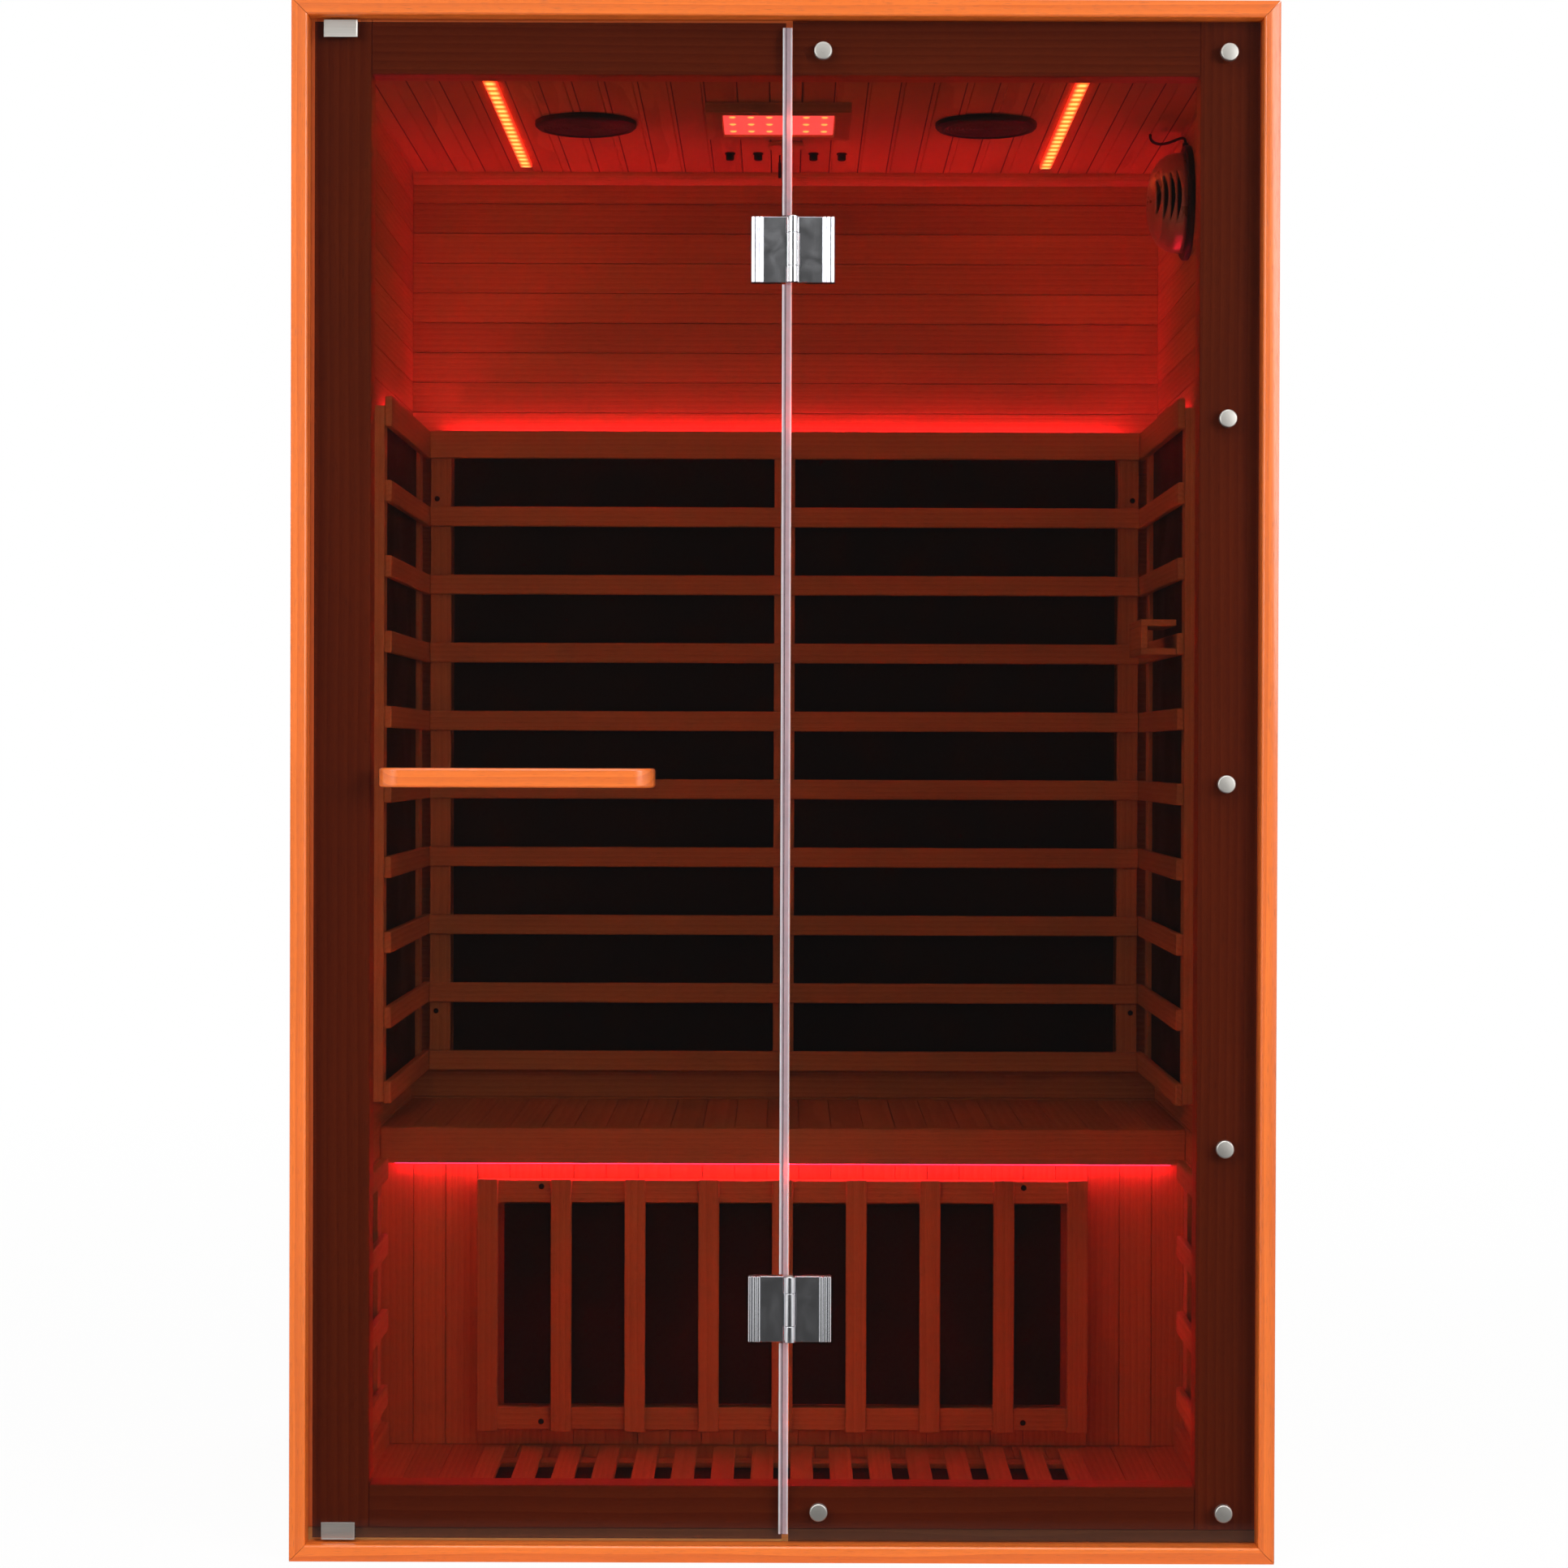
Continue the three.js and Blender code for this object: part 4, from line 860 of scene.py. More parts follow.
def mouldings():
    """The mitred mouldings round the front, with a broad rounding towards the glass."""
    runs = (
        ("trim_left", Z, X, 1),
        ("trim_right", Z, X, -1),
        ("trim_top", X, Z, -1),
        ("trim_bottom", X, Z, 1),
    )
    for node, along, inward, side in runs:
        bm = new_shape()
        low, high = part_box(node)
        mitred(bm, low, high, along, inward, side)
        inner = high[inward] if side > 0 else low[inward]
        edges = running(bm, along)
        lip = [
            edge
            for edge in edges
            if all(near(v.co[inward], inner) and near(v.co.y, low.y) for v in edge.verts)
        ]
        bevel(bm, [edge for edge in edges if edge not in lip], 1.6 * MM, 3)
        bevel(bm, lip, MOULDING_LIP, 5)
        lay_grain(bm, along)
        finished(f"{node}_moulding", bm, "stained_wood", "cabin", node)


QUARTER_ROUND = 17 * MM
SKIRTING_THICKNESS = 12 * MM
SKIRTING_HEIGHT = 32 * MM


def inner_mouldings():
    """Quarter round along the back of the ceiling, and skirtings along the side walls."""
    wall_low, wall_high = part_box("back_wall")
    ceiling_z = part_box("ceiling_panel")[0].z
    gap = 1 * MM
    front, bottom = wall_low.y - QUARTER_ROUND, ceiling_z - QUARTER_ROUND
    bm = new_shape()
    box(bm, (wall_low.x + gap, front, bottom), (wall_high.x - gap, wall_low.y, ceiling_z))
    edge = [e for e in bm.edges if all(near(v.co.y, front) and near(v.co.z, bottom) for v in e.verts)]
    bevel(bm, edge, 14 * MM, 8)
    lay_grain(bm, X)
    finished("ceiling_moulding", bm, "board_wood", "cabin")
    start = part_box("front_sill")[1].y + gap
    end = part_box("bench_front_panel")[0].y - gap
    for name, side in (("left", -1), ("right", 1)):
        bm = new_shape()
        wall = side * wall_high.x
        low = (wall - side * SKIRTING_THICKNESS, start, FLOOR_TOP)
        plank(bm, low, (wall, end, FLOOR_TOP + SKIRTING_HEIGHT), Y, 2.5 * MM, 3)
        finished(f"{name}_skirting", bm, "board_wood", "cabin")


# Bench and heaters

def bench():
    low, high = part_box("bench_seat")
    bm = new_shape()
    back_of_fascia = low.y + FASCIA_THICKNESS
    seat_low = Vector((low.x, back_of_fascia, high.z - BENCH_THICKNESS))
    panelled(bm, seat_low, high, X, Y)
    plank(bm, low, (high.x, back_of_fascia, high.z), X, 3 * MM, 3)
    finished("bench_boards", bm, "slat_wood", "cabin", "bench_seat")
    bm = new_shape()
    panelled(bm, *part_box("bench_front_panel"), X, Z)
    finished("bench_front_boards", bm, "board_wood", "cabin", "bench_front_panel")


def on_wall(wall, u, depth, z):
    """A point u along a wall, a depth in front of it and z up."""
    inner_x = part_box("back_wall")[1].x
    inner_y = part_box("back_wall")[0].y
    if wall == "back":
        return Vector((u, inner_y - depth, z))
    return Vector((-inner_x + depth, u, z)) if wall == "left" else Vector((inner_x - depth, u, z))


def slat_places(bottom, top, count):
    """Lower and upper edges of slats whose lower edges lie evenly from bottom to top."""
    pitch = (top - bottom) / max(1, count)
    return [(bottom + i * pitch, bottom + i * pitch + SLAT_HEIGHT) for i in range(count)]


def level_grille(node, wall, start, end, slats, bearers):
    """Level slats on upright bearers. A bearer is (from, to, depth of its back)."""
    along = X if wall == "back" else Y
    face = BEARER_DEPTH + SLAT_THICKNESS - 2 * MM
    bm = new_shape()
    for low, high in slats:
        corner = on_wall(wall, start, BEARER_DEPTH, low)
        plank(bm, corner, on_wall(wall, end, face, high), along, SLAT_ROUNDING, 3)
    bottom, top = slats[0][0] + 2 * MM, slats[-1][1] - BEARER_TOP_INSET
    for first, last, back in bearers:
        plank(bm, on_wall(wall, first, back, bottom), on_wall(wall, last, BEARER_DEPTH, top), Z, 1.5 * MM)
    finished(f"{node}_slats", bm, "slat_wood", "cabin", node)


def grilles():
    low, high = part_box("back_grille")
    rail = (high.z - TOP_RAIL, high.z)
    wide = slat_places(low.z, rail[0], WIDE_SLATS) + [rail]
    seat_gap = 0.3 * MM
    bearers = (
        (low.x, low.x + BEARER_WIDTH, seat_gap),
        (-BEARER_WIDTH / 2, BEARER_WIDTH / 2, HEATER_GAP),
        (high.x - BEARER_WIDTH, high.x, seat_gap),
    )
    level_grille("back_grille", "back", low.x, high.x, wide, bearers)
    for side in ("left", "right"):
        low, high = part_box(f"{side}_grille")
        far = high.y - SIDE_FAR_INSET
        bearers = (
            (low.y, low.y + BEARER_WIDTH, seat_gap),
            (far - BEARER_WIDTH, far, seat_gap),
        )
        level_grille(f"{side}_grille", side, low.y, high.y, wide, bearers)
        low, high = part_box(f"{side}_calf_grille")
        last = high.z - SLAT_HEIGHT
        calf = slat_places(low.z, last, CALF_SLATS - 1) + [(last, high.z)]
        bearers = (
            (low.y, low.y + BEARER_WIDTH, seat_gap),
            (high.y - BEARER_WIDTH, high.y, seat_gap),
        )
        level_grille(f"{side}_calf_grille", side, low.y, high.y, calf, bearers)


def bench_grille():
    """Nine upright slats in front of a top and a bottom rail."""
    low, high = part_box("bench_grille")
    slat, count = 29 * MM, 9
    rail_front = high.y - BEARER_DEPTH
    bm = new_shape()
    for x in evenly(low.x, high.x, slat, count):
        plank(bm, (x, low.y, low.z), (x + slat, rail_front, high.z), Z, SLAT_ROUNDING, 3)
    inset = 2 * MM
    for z in (low.z + inset, high.z - inset - BEARER_WIDTH):
        corner = (high.x - inset, high.y, z + BEARER_WIDTH)
        plank(bm, (low.x + inset, rail_front, z), corner, X, 1.5 * MM)
    finished("bench_grille_slats", bm, "slat_wood", "cabin", "bench_grille")


def floor_grille():
    low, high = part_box("floor_grille")
    slat, thickness, inset, count = 30 * MM, 9 * MM, 30 * MM, 16
    bm = new_shape()
    for x in evenly(low.x, high.x, slat, count):
        plank(bm, (x, low.y, high.z - thickness), (x + slat, high.y, high.z), Y, SLAT_ROUNDING, 3)
    for y in (low.y + inset, high.y - inset - slat):
        plank(bm, (low.x, y, low.z), (high.x, y + slat, high.z - thickness), X)
    finished("floor_grille_slats", bm, "slat_wood", "cabin", "floor_grille")


def heaters():
    names = [node for node in frame["nodes"] if node.endswith("_heater")]
    for node in names:
        give_finish(node, FINISH["carbon_panel"])


def storage_rack():
    low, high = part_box("storage_rack")
    board = 9 * MM
    bm = new_shape()
    plank(bm, low, (high.x, high.y, low.z + board), Y, 1.2 * MM)
    plank(bm, (low.x, low.y, high.z - board), high, Y, 1.2 * MM)
    plank(bm, (low.x, low.y, low.z + board), (low.x + board, high.y, high.z - board), Y, 1.2 * MM)
    finished("storage_rack_boards", bm, "slat_wood", "cabin", "storage_rack")


def screws():
    """Dark screw heads on the back bearers and the bench grille's rails."""
    back_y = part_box("back_wall")[0].y - BEARER_DEPTH
    bench_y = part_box("bench_grille")[1].y - BEARER_DEPTH
    places = [(x, back_y, z) for x in (-BACK_SCREW_X, BACK_SCREW_X) for z in BACK_SCREW_HEIGHTS]
    places += [(x, bench_y, z) for x in (-BENCH_SCREW_X, BENCH_SCREW_X) for z in BENCH_SCREW_HEIGHTS]
    head = ((0, -1.2), (1.2, -1.6), (2.6, -1.4), (4, 0), (0, 0.4))
    bm = new_shape()
    for x, y, z in places:
        turned_from(bm, y, head, Y, (x, z), 20)
    finished("grille_screws", bm, "black_plastic", "cabin")


# Lights and ceiling fittings

def strips(name, finish, soften, *corners):
    """Thin boxes that glow, each between two corners."""
    bm = new_shape()
    for low, high in corners:
        box(bm, low, high, soften)
    finished(name, bm, "light_diffuser", "cabin", finish=finish)


def rail_strips():
    """Red strips behind the top rails of the back and side grilles."""
    low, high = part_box("back_grille")
    wall_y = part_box("back_wall")[0].y
    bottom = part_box("back_heater")[1].z + 5 * MM
    top = bottom + 3 * MM
    back_low = (low.x + STRIP_END_INSET, wall_y - 13 * MM, bottom)
    corners = [(back_low, (high.x - STRIP_END_INSET, wall_y - 3 * MM, top))]
    for side in ("left", "right"):
        low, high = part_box(f"{side}_grille")
        start, end = low.y + SIDE_STRIP_START, high.y - SIDE_STRIP_END
        corners.append((on_wall(side, start, 3 * MM, bottom), on_wall(side, end, 8 * MM, top)))
    strips("led_strips", strip_glow, 0.6 * MM, *corners)


def front_strips():
    """Pale strips behind the front posts and a red one behind the sill."""
    header_low, header_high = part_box("front_header")
    back = header_high.y
    top = header_low.z - POST_STRIP_TOP_INSET
    post_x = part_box("front_right_post")[0].x + POST_STRIP_INSET
    corners = []
    for side, width in POST_STRIP_WIDTHS:
        x = side * post_x
        corners.append(((x, back, POST_STRIP_BOTTOM), (x + side * width, back + 3 * MM, top)))
    strips("frame_led_strips", frame_glow, 0.4 * MM, *corners)
    sill_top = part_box("front_sill")[1].z
    low = (-SILL_STRIP_HALF, back, sill_top - 18 * MM)
    high = (SILL_STRIP_HALF, back + 4 * MM, sill_top - 14 * MM)
    strips("sill_led_strip", sill_glow, 0.4 * MM, (low, high))


def bench_strip():
    """A red strip under the bench's fascia."""
    seat_low, seat_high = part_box("bench_seat")
    low = (seat_low.x + STRIP_END_INSET, seat_low.y + 6.5 * MM, seat_low.z - 0.7 * MM)
    back = seat_low.y + FASCIA_THICKNESS - 1 * MM
    high = (seat_high.x - STRIP_END_INSET, back, seat_low.z)
    strips("bench_led_strip", bench_glow, 0.2 * MM, (low, high))


def light_bars():
    """Ribbed light bars on the ceiling."""
    for side in ("left", "right"):
        low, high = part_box(f"light_bar_{side}")
        bm = new_shape()
        pitch = (high.y - low.y) / LIGHT_BAR_RIBS
        for i in range(LIGHT_BAR_RIBS):
            y = low.y + i * pitch
            box(bm, (low.x, y, low.z), (high.x, y + pitch, high.z), 1.5 * MM)
        finished(f"light_bar_{side}_ribs", bm, "light_diffuser", "cabin", f"light_bar_{side}")


def lamp():
    """A mitred frame, its back, a red lens and three rows of diodes."""
    low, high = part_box("lamp_frame")
    width = LAMP_FRAME_WIDTH
    sides = (
        ((low.x, low.y), (low.x + width, high.y), Y, X, 1),
        ((high.x - width, low.y), (high.x, high.y), Y, X, -1),
        ((low.x, low.y), (high.x, low.y + width), X, Y, 1),
        ((low.x, high.y - width), (high.x, high.y), X, Y, -1),
    )
    whole = new_shape()
    for first, second, along, inward, side in sides:
        bm = new_shape()
        mitred(bm, Vector((*first, low.z)), Vector((*second, high.z)), along, inward, side)
        bevel(bm, running(bm, along), 1.2 * MM)
        lay_grain(bm, along)
        part = as_mesh("lamp_side", bm)
        whole.from_mesh(part)
        bpy.data.meshes.remove(part)
    plank(
        whole,
        (low.x + width, low.y + width, low.z + LAMP_RECESS),
        (high.x - width, high.y - width, high.z),
        X,
        0.5 * MM,
    )
    finished("lamp_frame_boards", whole, "board_wood", "cabin", "lamp_frame")
    lens = new_shape()
    edge = 1 * MM
    lens_top = low.z + LAMP_RECESS - 0.3 * MM
    inner_low = Vector((low.x + width + edge, low.y + width + edge, low.z + 3 * MM))
    inner_high = Vector((high.x - width - edge, high.y - width - edge, lens_top))
    box(lens, inner_low, inner_high, 0.8 * MM)
    finished("lamp_lens", lens, "light_diffuser", "cabin", finish=lens_glow)
    dots = new_shape()
    rows, columns = 3, 6
    dot = ((0, -1.6), (2.6, -1.2), (4.5, -0.3), (4.8, 0.3))
    for row in range(rows):
        for column in range(columns):
            x = inner_low.x + (inner_high.x - inner_low.x) * (column + 0.5) / columns
            y = inner_low.y + (inner_high.y - inner_low.y) * (row + 0.5) / rows
            turned_from(dots, inner_low.z, dot, Z, (x, y), 16)
    finished("lamp_diodes", dots, "light_diffuser", "cabin", finish=dot_glow)


def speakers():
    """Round speakers with a stepped rim and a ringed grille."""
    for side in ("left", "right"):
        low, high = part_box(f"speaker_{side}")
        centre = middle_of(f"speaker_{side}", X, Y)
        radius = (high.x - low.x) / 2
        ceiling_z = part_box("ceiling_panel")[0].z - 0.3 * MM
        face = low.z
        ridge, groove = face + 2 * MM, face + 3.2 * MM
        profile = [(0, ridge)]
        rings = 11
        for i in range(1, rings):
            r = (radius - 13 * MM) * i / rings
            profile += [(r - 1.4 * MM, ridge), (r, groove), (r + 1.4 * MM, ridge)]
        profile += [
            (radius - 13 * MM, face + 2.4 * MM),
            (radius - 12 * MM, face + 0.4 * MM),
            (radius - 10.5 * MM, face),
            (radius - 4 * MM, face + 1.6 * MM),
            (radius - 1 * MM, face + 4 * MM),
            (radius, face + 6 * MM),
            (radius, ceiling_z - 0.5 * MM),
            (radius - 1 * MM, ceiling_z),
            (radius - 14 * MM, ceiling_z),
            (radius - 14 * MM, high.z),
            (0, high.z),
        ]
        bm = new_shape()
        turned(bm, profile, Z, centre, 72)
        finished(f"speaker_{side}_grille", bm, "black_plastic", "cabin", f"speaker_{side}")


def vent():
    """The wooden disc that swings over the vent on one screw with a low head."""
    low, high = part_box("vent_disc")
    radius = (high.x - low.x) / 2
    bottom = low.z
    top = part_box("ceiling_panel")[0].z - 0.3 * MM
    centre = (0.0, high.y - radius)
    profile = (
        (0, bottom),
        (radius - 2 * MM, bottom),
        (radius - 0.6 * MM, bottom + 0.6 * MM),
        (radius, bottom + 2 * MM),
        (radius, top - 0.5 * MM),
        (radius - 0.5 * MM, top),
        (0, top),
    )
    bm = new_shape()
    turned(bm, profile, Z, centre, 64)
    tone = bm.verts.layers.float["tone"]
    for vert in bm.verts:
        vert[tone] = 0
    lay_grain(bm, X)
    finished("vent_cover", bm, "slat_wood", "vent", "vent_disc")
    screw = new_shape()
    pivot = (0.0, high.y - radius - VENT_PIVOT)
    head = ((0, 0.3), (2, -0.1), (3.6, 0.3), (0, 0.5))
    turned_from(screw, bottom, head, Z, pivot, 20)
    bar(screw, Z, 2.5 * MM, top, high.z, pivot, 16)
    lay_rings(screw, Z, Vector((*pivot, 0)))
    finished("vent_screw", screw, "brushed_steel", "vent")


def ceiling_bolts():
    """Four bolt heads and a temperature probe near the back of the ceiling."""
    ceiling_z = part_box("ceiling_panel")[0].z
    head = ((0, -11), (4.6, -11), (6, -9.6), (6, -2.4), (7.5, -2), (7.5, -0.3), (0, -0.3))
    bm = new_shape()
    for x in BOLT_PLACES:
        turned_from(bm, ceiling_z, head, Z, (x, BOLT_ROW_Y), 24)
    probe = ((0, -34), (1.6, -33.4), (2.2, -31), (2.2, -12), (1.2, -10), (1.2, -0.3), (0, -0.3))
    turned_from(bm, ceiling_z, probe, Z, PROBE_PLACE, 16)
    finished("ceiling_bolts", bm, "black_plastic", "cabin")


# Ioniser

DOME_SQUARENESS = 2.6
SLOT_COUNT = 4
SLOT_FIRST = 8 * MM
SLOT_PITCH = 9 * MM
SLOT_WIDTH = 6 * MM
SLOT_HALF_ANGLE = math.radians(32)


def ioniser_back():
    """A round base on the right wall and the clamp where the lead goes in."""
    low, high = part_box("ioniser_base")
    wall = high.x
    centre = middle_of("ioniser_base", Y, Z)
    radius = (high.z - low.z) / 2
    base_front = wall - 9 * MM
    bm = new_shape()
    profile = (
        (0, wall),
        (radius - 1 * MM, wall),
        (radius, wall - 1 * MM),
        (radius, base_front + 2 * MM),
        (radius - 2 * MM, base_front),
        (34 * MM, base_front),
        (34 * MM, low.x + 2 * MM),
        (32 * MM, low.x),
        (0, low.x),
    )
    turned(bm, profile, X, centre, 72)
    finished("ioniser_back", bm, "black_plastic", "cabin", "ioniser_base")
    clamp = new_shape()
    sleeve = ((0, 4), (3, 4), (4.2, 2.6), (4.2, -7), (3, -8), (0, -8))
    turned_from(clamp, LEAD_END.z, sleeve, Z, (LEAD_END.x, LEAD_END.y), 24)
    finished("ioniser_lead_clamp", clamp, "black_plastic", "cabin")


def ioniser_cover():
    """The dome over the base, with four crescent slots towards the door."""
    centre = middle_of("ioniser_base", Y, Z)
    dome_low, dome_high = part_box("ioniser_dome")
    rim_x, depth = dome_high.x, dome_high.x - dome_low.x
    dome_radius = (dome_high.z - dome_low.z) / 2

    def outline(rise):
        """Radius of the dome at a rise above its rim."""
        share = min(1.0, max(0.0, rise / depth))
        return dome_radius * max(0.0, 1 - share**DOME_SQUARENESS) ** (1 / DOME_SQUARENESS)

    rises = {0.0, depth * 0.97, depth * 0.99, depth}
    rises |= {depth * math.sin(math.pi / 2 * i / 14) for i in range(14)}
    starts = [SLOT_FIRST + i * SLOT_PITCH for i in range(SLOT_COUNT)]
    rises = [r for r in rises if not any(s - 0.4 * MM < r < s + SLOT_WIDTH + 0.4 * MM for s in starts)]
    hair = 0.05 * MM
    ends = [start + SLOT_WIDTH for start in starts]
    rises = sorted(rises + ends + [end - hair for end in ends])
    bm = new_shape()
    turned(bm, [(outline(rise), rim_x - rise) for rise in rises], X, centre, 128)
    middle = Vector((0, *centre))
    for vert in bm.verts:
        rise = rim_x - vert.co.x
        for end in ends:
            if abs(rise - end + hair) < hair / 4:
                arm = Vector((0, vert.co.y - centre[0], vert.co.z - centre[1]))
                angle = arm.angle(Vector((0, -1, 0)))
                if angle < SLOT_HALF_ANGLE:
                    width = SLOT_WIDTH * math.cos(math.pi / 2 * angle / SLOT_HALF_ANGLE)
                    new_rise = end - max(hair, width)
                    out = arm.normalized() * outline(new_rise)
                    vert.co = middle + out + Vector((rim_x - new_rise, 0, 0))
    doomed = []
    for face in bm.faces:
        span = [rim_x - vert.co.x for vert in face.verts]
        at = face.calc_center_median()
        arm = Vector((0, at.y - centre[0], at.z - centre[1]))
        if arm.length > MM and arm.angle(Vector((0, -1, 0))) < SLOT_HALF_ANGLE:
            narrow = max(span) - min(span) <= SLOT_WIDTH + hair
            if narrow and any(abs(max(span) - end) < hair / 4 for end in ends):
                doomed.append(face)
    bmesh.ops.delete(bm, geom=doomed, context="FACES")
    bmesh.ops.remove_doubles(bm, verts=bm.verts, dist=0.2 * MM)
    bmesh.ops.recalc_face_normals(bm, faces=bm.faces)
    dome = finished("ioniser_cover", bm, "ioniser_shell", "cabin", "ioniser_dome")
    shell = dome.modifiers.new("shell", "SOLIDIFY")
    shell.thickness = 2.5 * MM
    shell.offset = -1


# Glass front

def glass():
    for node in ("door_glass", "fixed_glass"):
        give_finish(node, FINISH["bronze_glass"])
    strip = give_finish("hinge_seal_strip", FINISH["clear_plastic"])
    weld = strip.modifiers.new("weld", "WELD")
    weld.merge_threshold = 0.01 * MM
    rounded = strip.modifiers.new("rounded", "BEVEL")
    rounded.width = 0.5 * MM
    rounded.segments = 3
    rounded.limit_method = "ANGLE"


def glass_fixings():
    """Stainless heads in front of the fixed pane, with shank, collar and screw behind."""
    names = sorted(node for node in frame["nodes"] if node.startswith("glass_fixing_"))
    for node in names:
        low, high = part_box(node)
        centre = middle_of(node, X, Z)
        glass_low, glass_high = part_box("fixed_glass")
        front = low.y
        head_back = glass_low.y - 0.3 * MM
        profile = (
            (0, front),
            (9.3 * MM, front),
            (10.4 * MM, front + 0.5 * MM),
            (11 * MM, front + 1.4 * MM),
            (11 * MM, head_back),
            (5 * MM, head_back),
            (5 * MM, glass_high.y + 0.3 * MM),
            (8.5 * MM, glass_high.y + 0.3 * MM),
            (8.5 * MM, glass_high.y + 2.7 * MM),
            (3 * MM, glass_high.y + 2.7 * MM),
            (3 * MM, high.y),
            (0, high.y),
        )
        bm = new_shape()
        turned(bm, profile, Y, centre, 56)
        finished(f"{node}_stud", bm, "brushed_steel", "cabin", node)


HINGE_AXIS = Vector(frame["joints"][0]["pos_m"])
HINGE_HALF = 40 * MM
KNUCKLE_HALF = 20 * MM
BARREL = 7 * MM
LEAF_REACH = 51 * MM
BEADS = ((38.4 * MM, 2.6 * MM), (43.2 * MM, 2.6 * MM), (48.6 * MM, 2.3 * MM))  # place, radius
STUD_PLACE = 28 * MM
STUD_RISE = 22 * MM


def hinge_leaf(node, side, centre_z, knuckles, body):
    """Front plate with three beads, knuckles, studs through the glass and a back plate."""
    bm = new_shape()
    ax, ay = HINGE_AXIS.x, HINGE_AXIS.y
    plate_front, plate_back = ay + 3 * MM, ay + BARREL
    low, high = centre_z - HINGE_HALF, centre_z + HINGE_HALF
    glass_back = plate_back + 8.3 * MM
    box(
        bm,
        (ax + side * (BARREL + 0.7 * MM), plate_front, low),
        (ax + side * LEAF_REACH, plate_back, high),
        0.6 * MM,
        3,
    )
    for place, radius in BEADS:
        bar(bm, Z, radius, low, high, (ax + side * place, plate_front), 28, 0.5 * MM)
    box(
        bm,
        (ax + side * 14 * MM, glass_back + 0.3 * MM, low),
        (ax + side * LEAF_REACH, glass_back + 4.3 * MM, high),
        0.6 * MM,
    )
    for rise in (-STUD_RISE, STUD_RISE):
        place = (ax + side * STUD_PLACE, centre_z + rise)
        bar(bm, Y, 5 * MM, plate_back - 1 * MM, glass_back + 1 * MM, place, 24)
    for first, last in knuckles:
        bar(bm, Z, BARREL, centre_z + first, centre_z + last, (ax, ay), 48, 0.5 * MM)
        box(
            bm,
            (ax, plate_front, centre_z + first),
            (ax + side * (BARREL + 1.7 * MM), plate_back, centre_z + last),
            0.3 * MM,
        )
    lay_grain(bm, Z)
    finished(f"{node}_plate", bm, "chrome", body, node)


def hinges():
    for name in ("upper", "lower"):
        (centre_z,) = middle_of(f"{name}_hinge_panel_leaf", Z)
        gap = 0.3 * MM
        outer = ((-HINGE_HALF, -KNUCKLE_HALF - gap), (KNUCKLE_HALF + gap, HINGE_HALF))
        hinge_leaf(f"{name}_hinge_panel_leaf", 1, centre_z, outer, "cabin")
        hinge_leaf(f"{name}_hinge_door_leaf", -1, centre_z, ((-KNUCKLE_HALF, KNUCKLE_HALF),), "door")
        pin_low, pin_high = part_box(f"{name}_hinge_pin")
        top = pin_high.z
        head_bottom = centre_z + HINGE_HALF + gap
        profile = (
            (0, top),
            (3 * MM, top - 0.1 * MM),
            (4.2 * MM, top - 0.5 * MM),
            (4.5 * MM, head_bottom),
            (3 * MM, head_bottom),
            (3 * MM, pin_low.z),
            (0, pin_low.z),
        )
        bm = new_shape()
        turned(bm, profile, Z, (HINGE_AXIS.x, HINGE_AXIS.y), 32)
        finished(f"{name}_hinge_pin_rod", bm, "brushed_steel", "cabin", f"{name}_hinge_pin")


HANDLE_HEIGHT = 23.5 * MM
HANDLE_REACH = 57 * MM
HANDLE_BAR = 22 * MM
HANDLE_END = 26 * MM


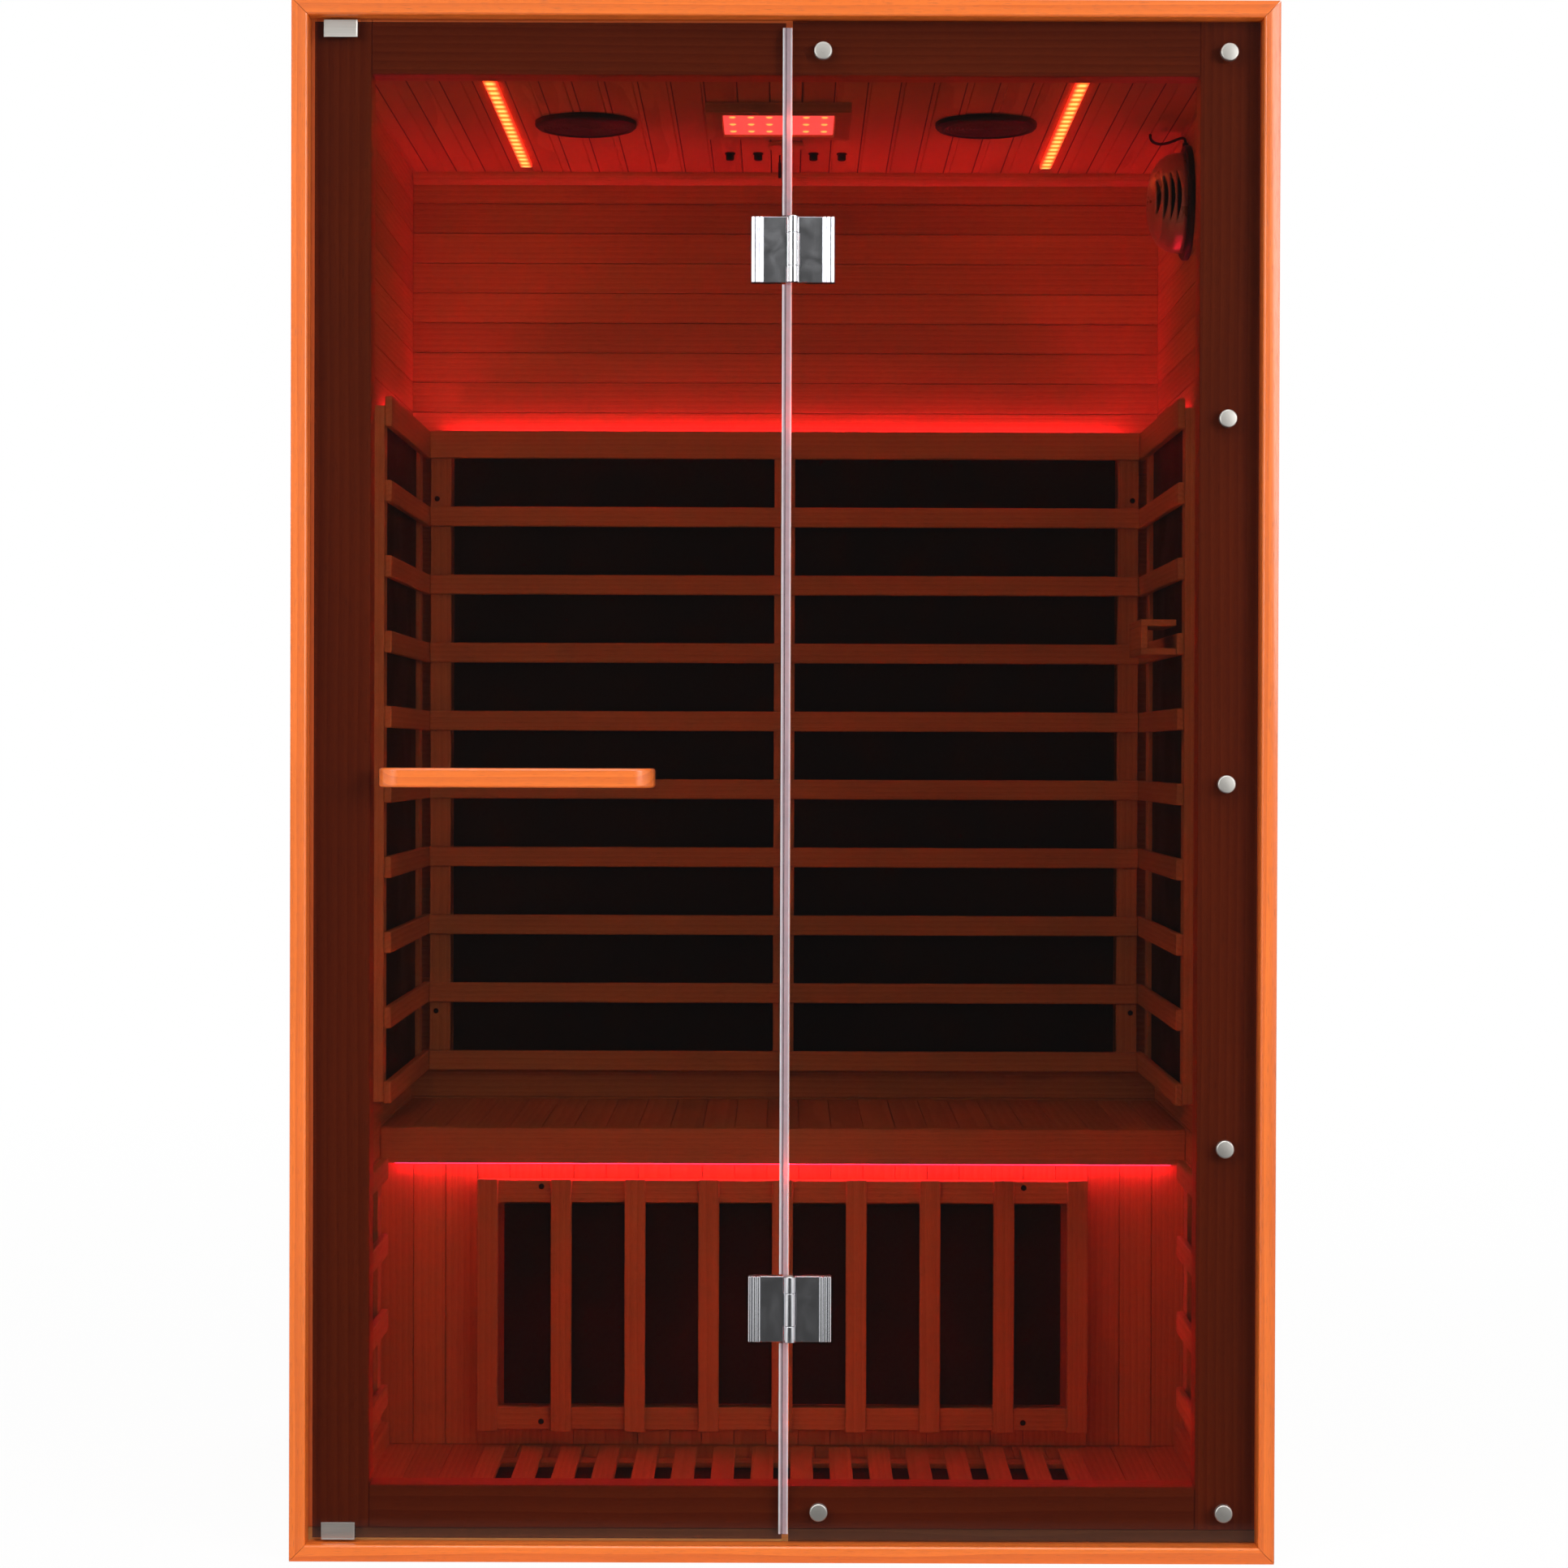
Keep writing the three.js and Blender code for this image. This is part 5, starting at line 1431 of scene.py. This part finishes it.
def handle():
    """A wooden bridge with curved ends, studs through the glass and a nut behind each."""
    low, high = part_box("door_handle")
    glass_low, glass_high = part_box("door_glass")
    foot = low.y + HANDLE_REACH
    bottom = (low.z + high.z) / 2 - HANDLE_HEIGHT / 2
    inner_y = low.y + HANDLE_BAR
    corners = (
        (low.x, foot),
        (low.x, low.y),
        (high.x, low.y),
        (high.x, foot),
        (high.x - HANDLE_END, foot),
        (high.x - HANDLE_END, inner_y),
        (low.x + HANDLE_END, inner_y),
        (low.x + HANDLE_END, foot),
    )
    bm = new_shape()
    verts = [bm.verts.new((x, y, bottom)) for x, y in corners]
    bm.faces.new(verts)
    for pair, radius in (((1, 2), 26 * MM), ((5, 6), 12 * MM)):
        bevel(bm, [verts[i] for i in pair], radius, 10, "VERTICES")
    grown = bmesh.ops.extrude_face_region(bm, geom=bm.faces[:])
    top = [part for part in grown["geom"] if isinstance(part, bmesh.types.BMVert)]
    bmesh.ops.translate(bm, verts=top, vec=(0, 0, HANDLE_HEIGHT))
    bmesh.ops.recalc_face_normals(bm, faces=bm.faces)
    rims = [edge for edge in bm.edges if abs(edge.verts[0].co.z - edge.verts[1].co.z) < 0.1 * MM]
    bevel(bm, rims, 3.5 * MM, 4)
    lay_grain(bm, X)
    middle_z = bottom + HANDLE_HEIGHT / 2
    finished("handle_bar", bm, "stained_wood", "door", "door_handle")
    fittings = new_shape()
    for x in (low.x + HANDLE_END / 2, high.x - HANDLE_END / 2):
        bar(fittings, Y, 4 * MM, glass_low.y - 0.3 * MM, glass_high.y + 1 * MM, (x, middle_z), 24)
        nut_front, nut_back = glass_high.y + 0.3 * MM, glass_high.y + 6.3 * MM
        bar(fittings, Y, 9 * MM, nut_front, nut_back, (x, middle_z), 6, 0.6 * MM)
    lay_grain(fittings, Y)
    finished("handle_nuts", fittings, "brushed_steel", "door")


def strikes():
    """Folded clips on the door's free corners, with a raised border on the front."""
    for name, inward in (("upper", -1), ("lower", 1)):
        node = f"{name}_catch_strike"
        low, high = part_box(node)
        sheet = 2 * MM
        bm = new_shape()
        box(bm, low, (high.x, low.y + sheet, high.z))
        front = min(bm.faces, key=lambda face: face.calc_center_median().y)
        bmesh.ops.inset_individual(bm, faces=[front], thickness=2.2 * MM, depth=-0.35 * MM)
        bevel(bm, [edge for edge in bm.edges if edge.calc_length() > 1 * MM], 0.3 * MM)
        edge_z = high.z if inward < 0 else low.z
        bend_z = edge_z + inward * sheet * 0.98
        box(bm, (low.x, low.y + sheet / 2, edge_z), (high.x, high.y, bend_z), 0.4 * MM)
        box(bm, (low.x, high.y - sheet, edge_z), (high.x, high.y, edge_z + inward * 16 * MM), 0.4 * MM)
        lay_grain(bm, X)
        finished(f"{name}_strike_clip", bm, "brushed_steel", "door", node)


def power_unit():
    give_finish("power_unit", FINISH["black_plastic"])


camera()
ioniser_lead()
studio()
surroundings()
walls()
floor_boards()
roof()
front_frame()
mouldings()
inner_mouldings()
bench()
grilles()
bench_grille()
floor_grille()
heaters()
storage_rack()
screws()
rail_strips()
front_strips()
bench_strip()
light_bars()
lamp()
speakers()
vent()
ceiling_bolts()
ioniser_back()
ioniser_cover()
glass()
glass_fixings()
hinges()
handle()
strikes()
power_unit()

bpy.context.scene.view_settings.view_transform = "Standard"
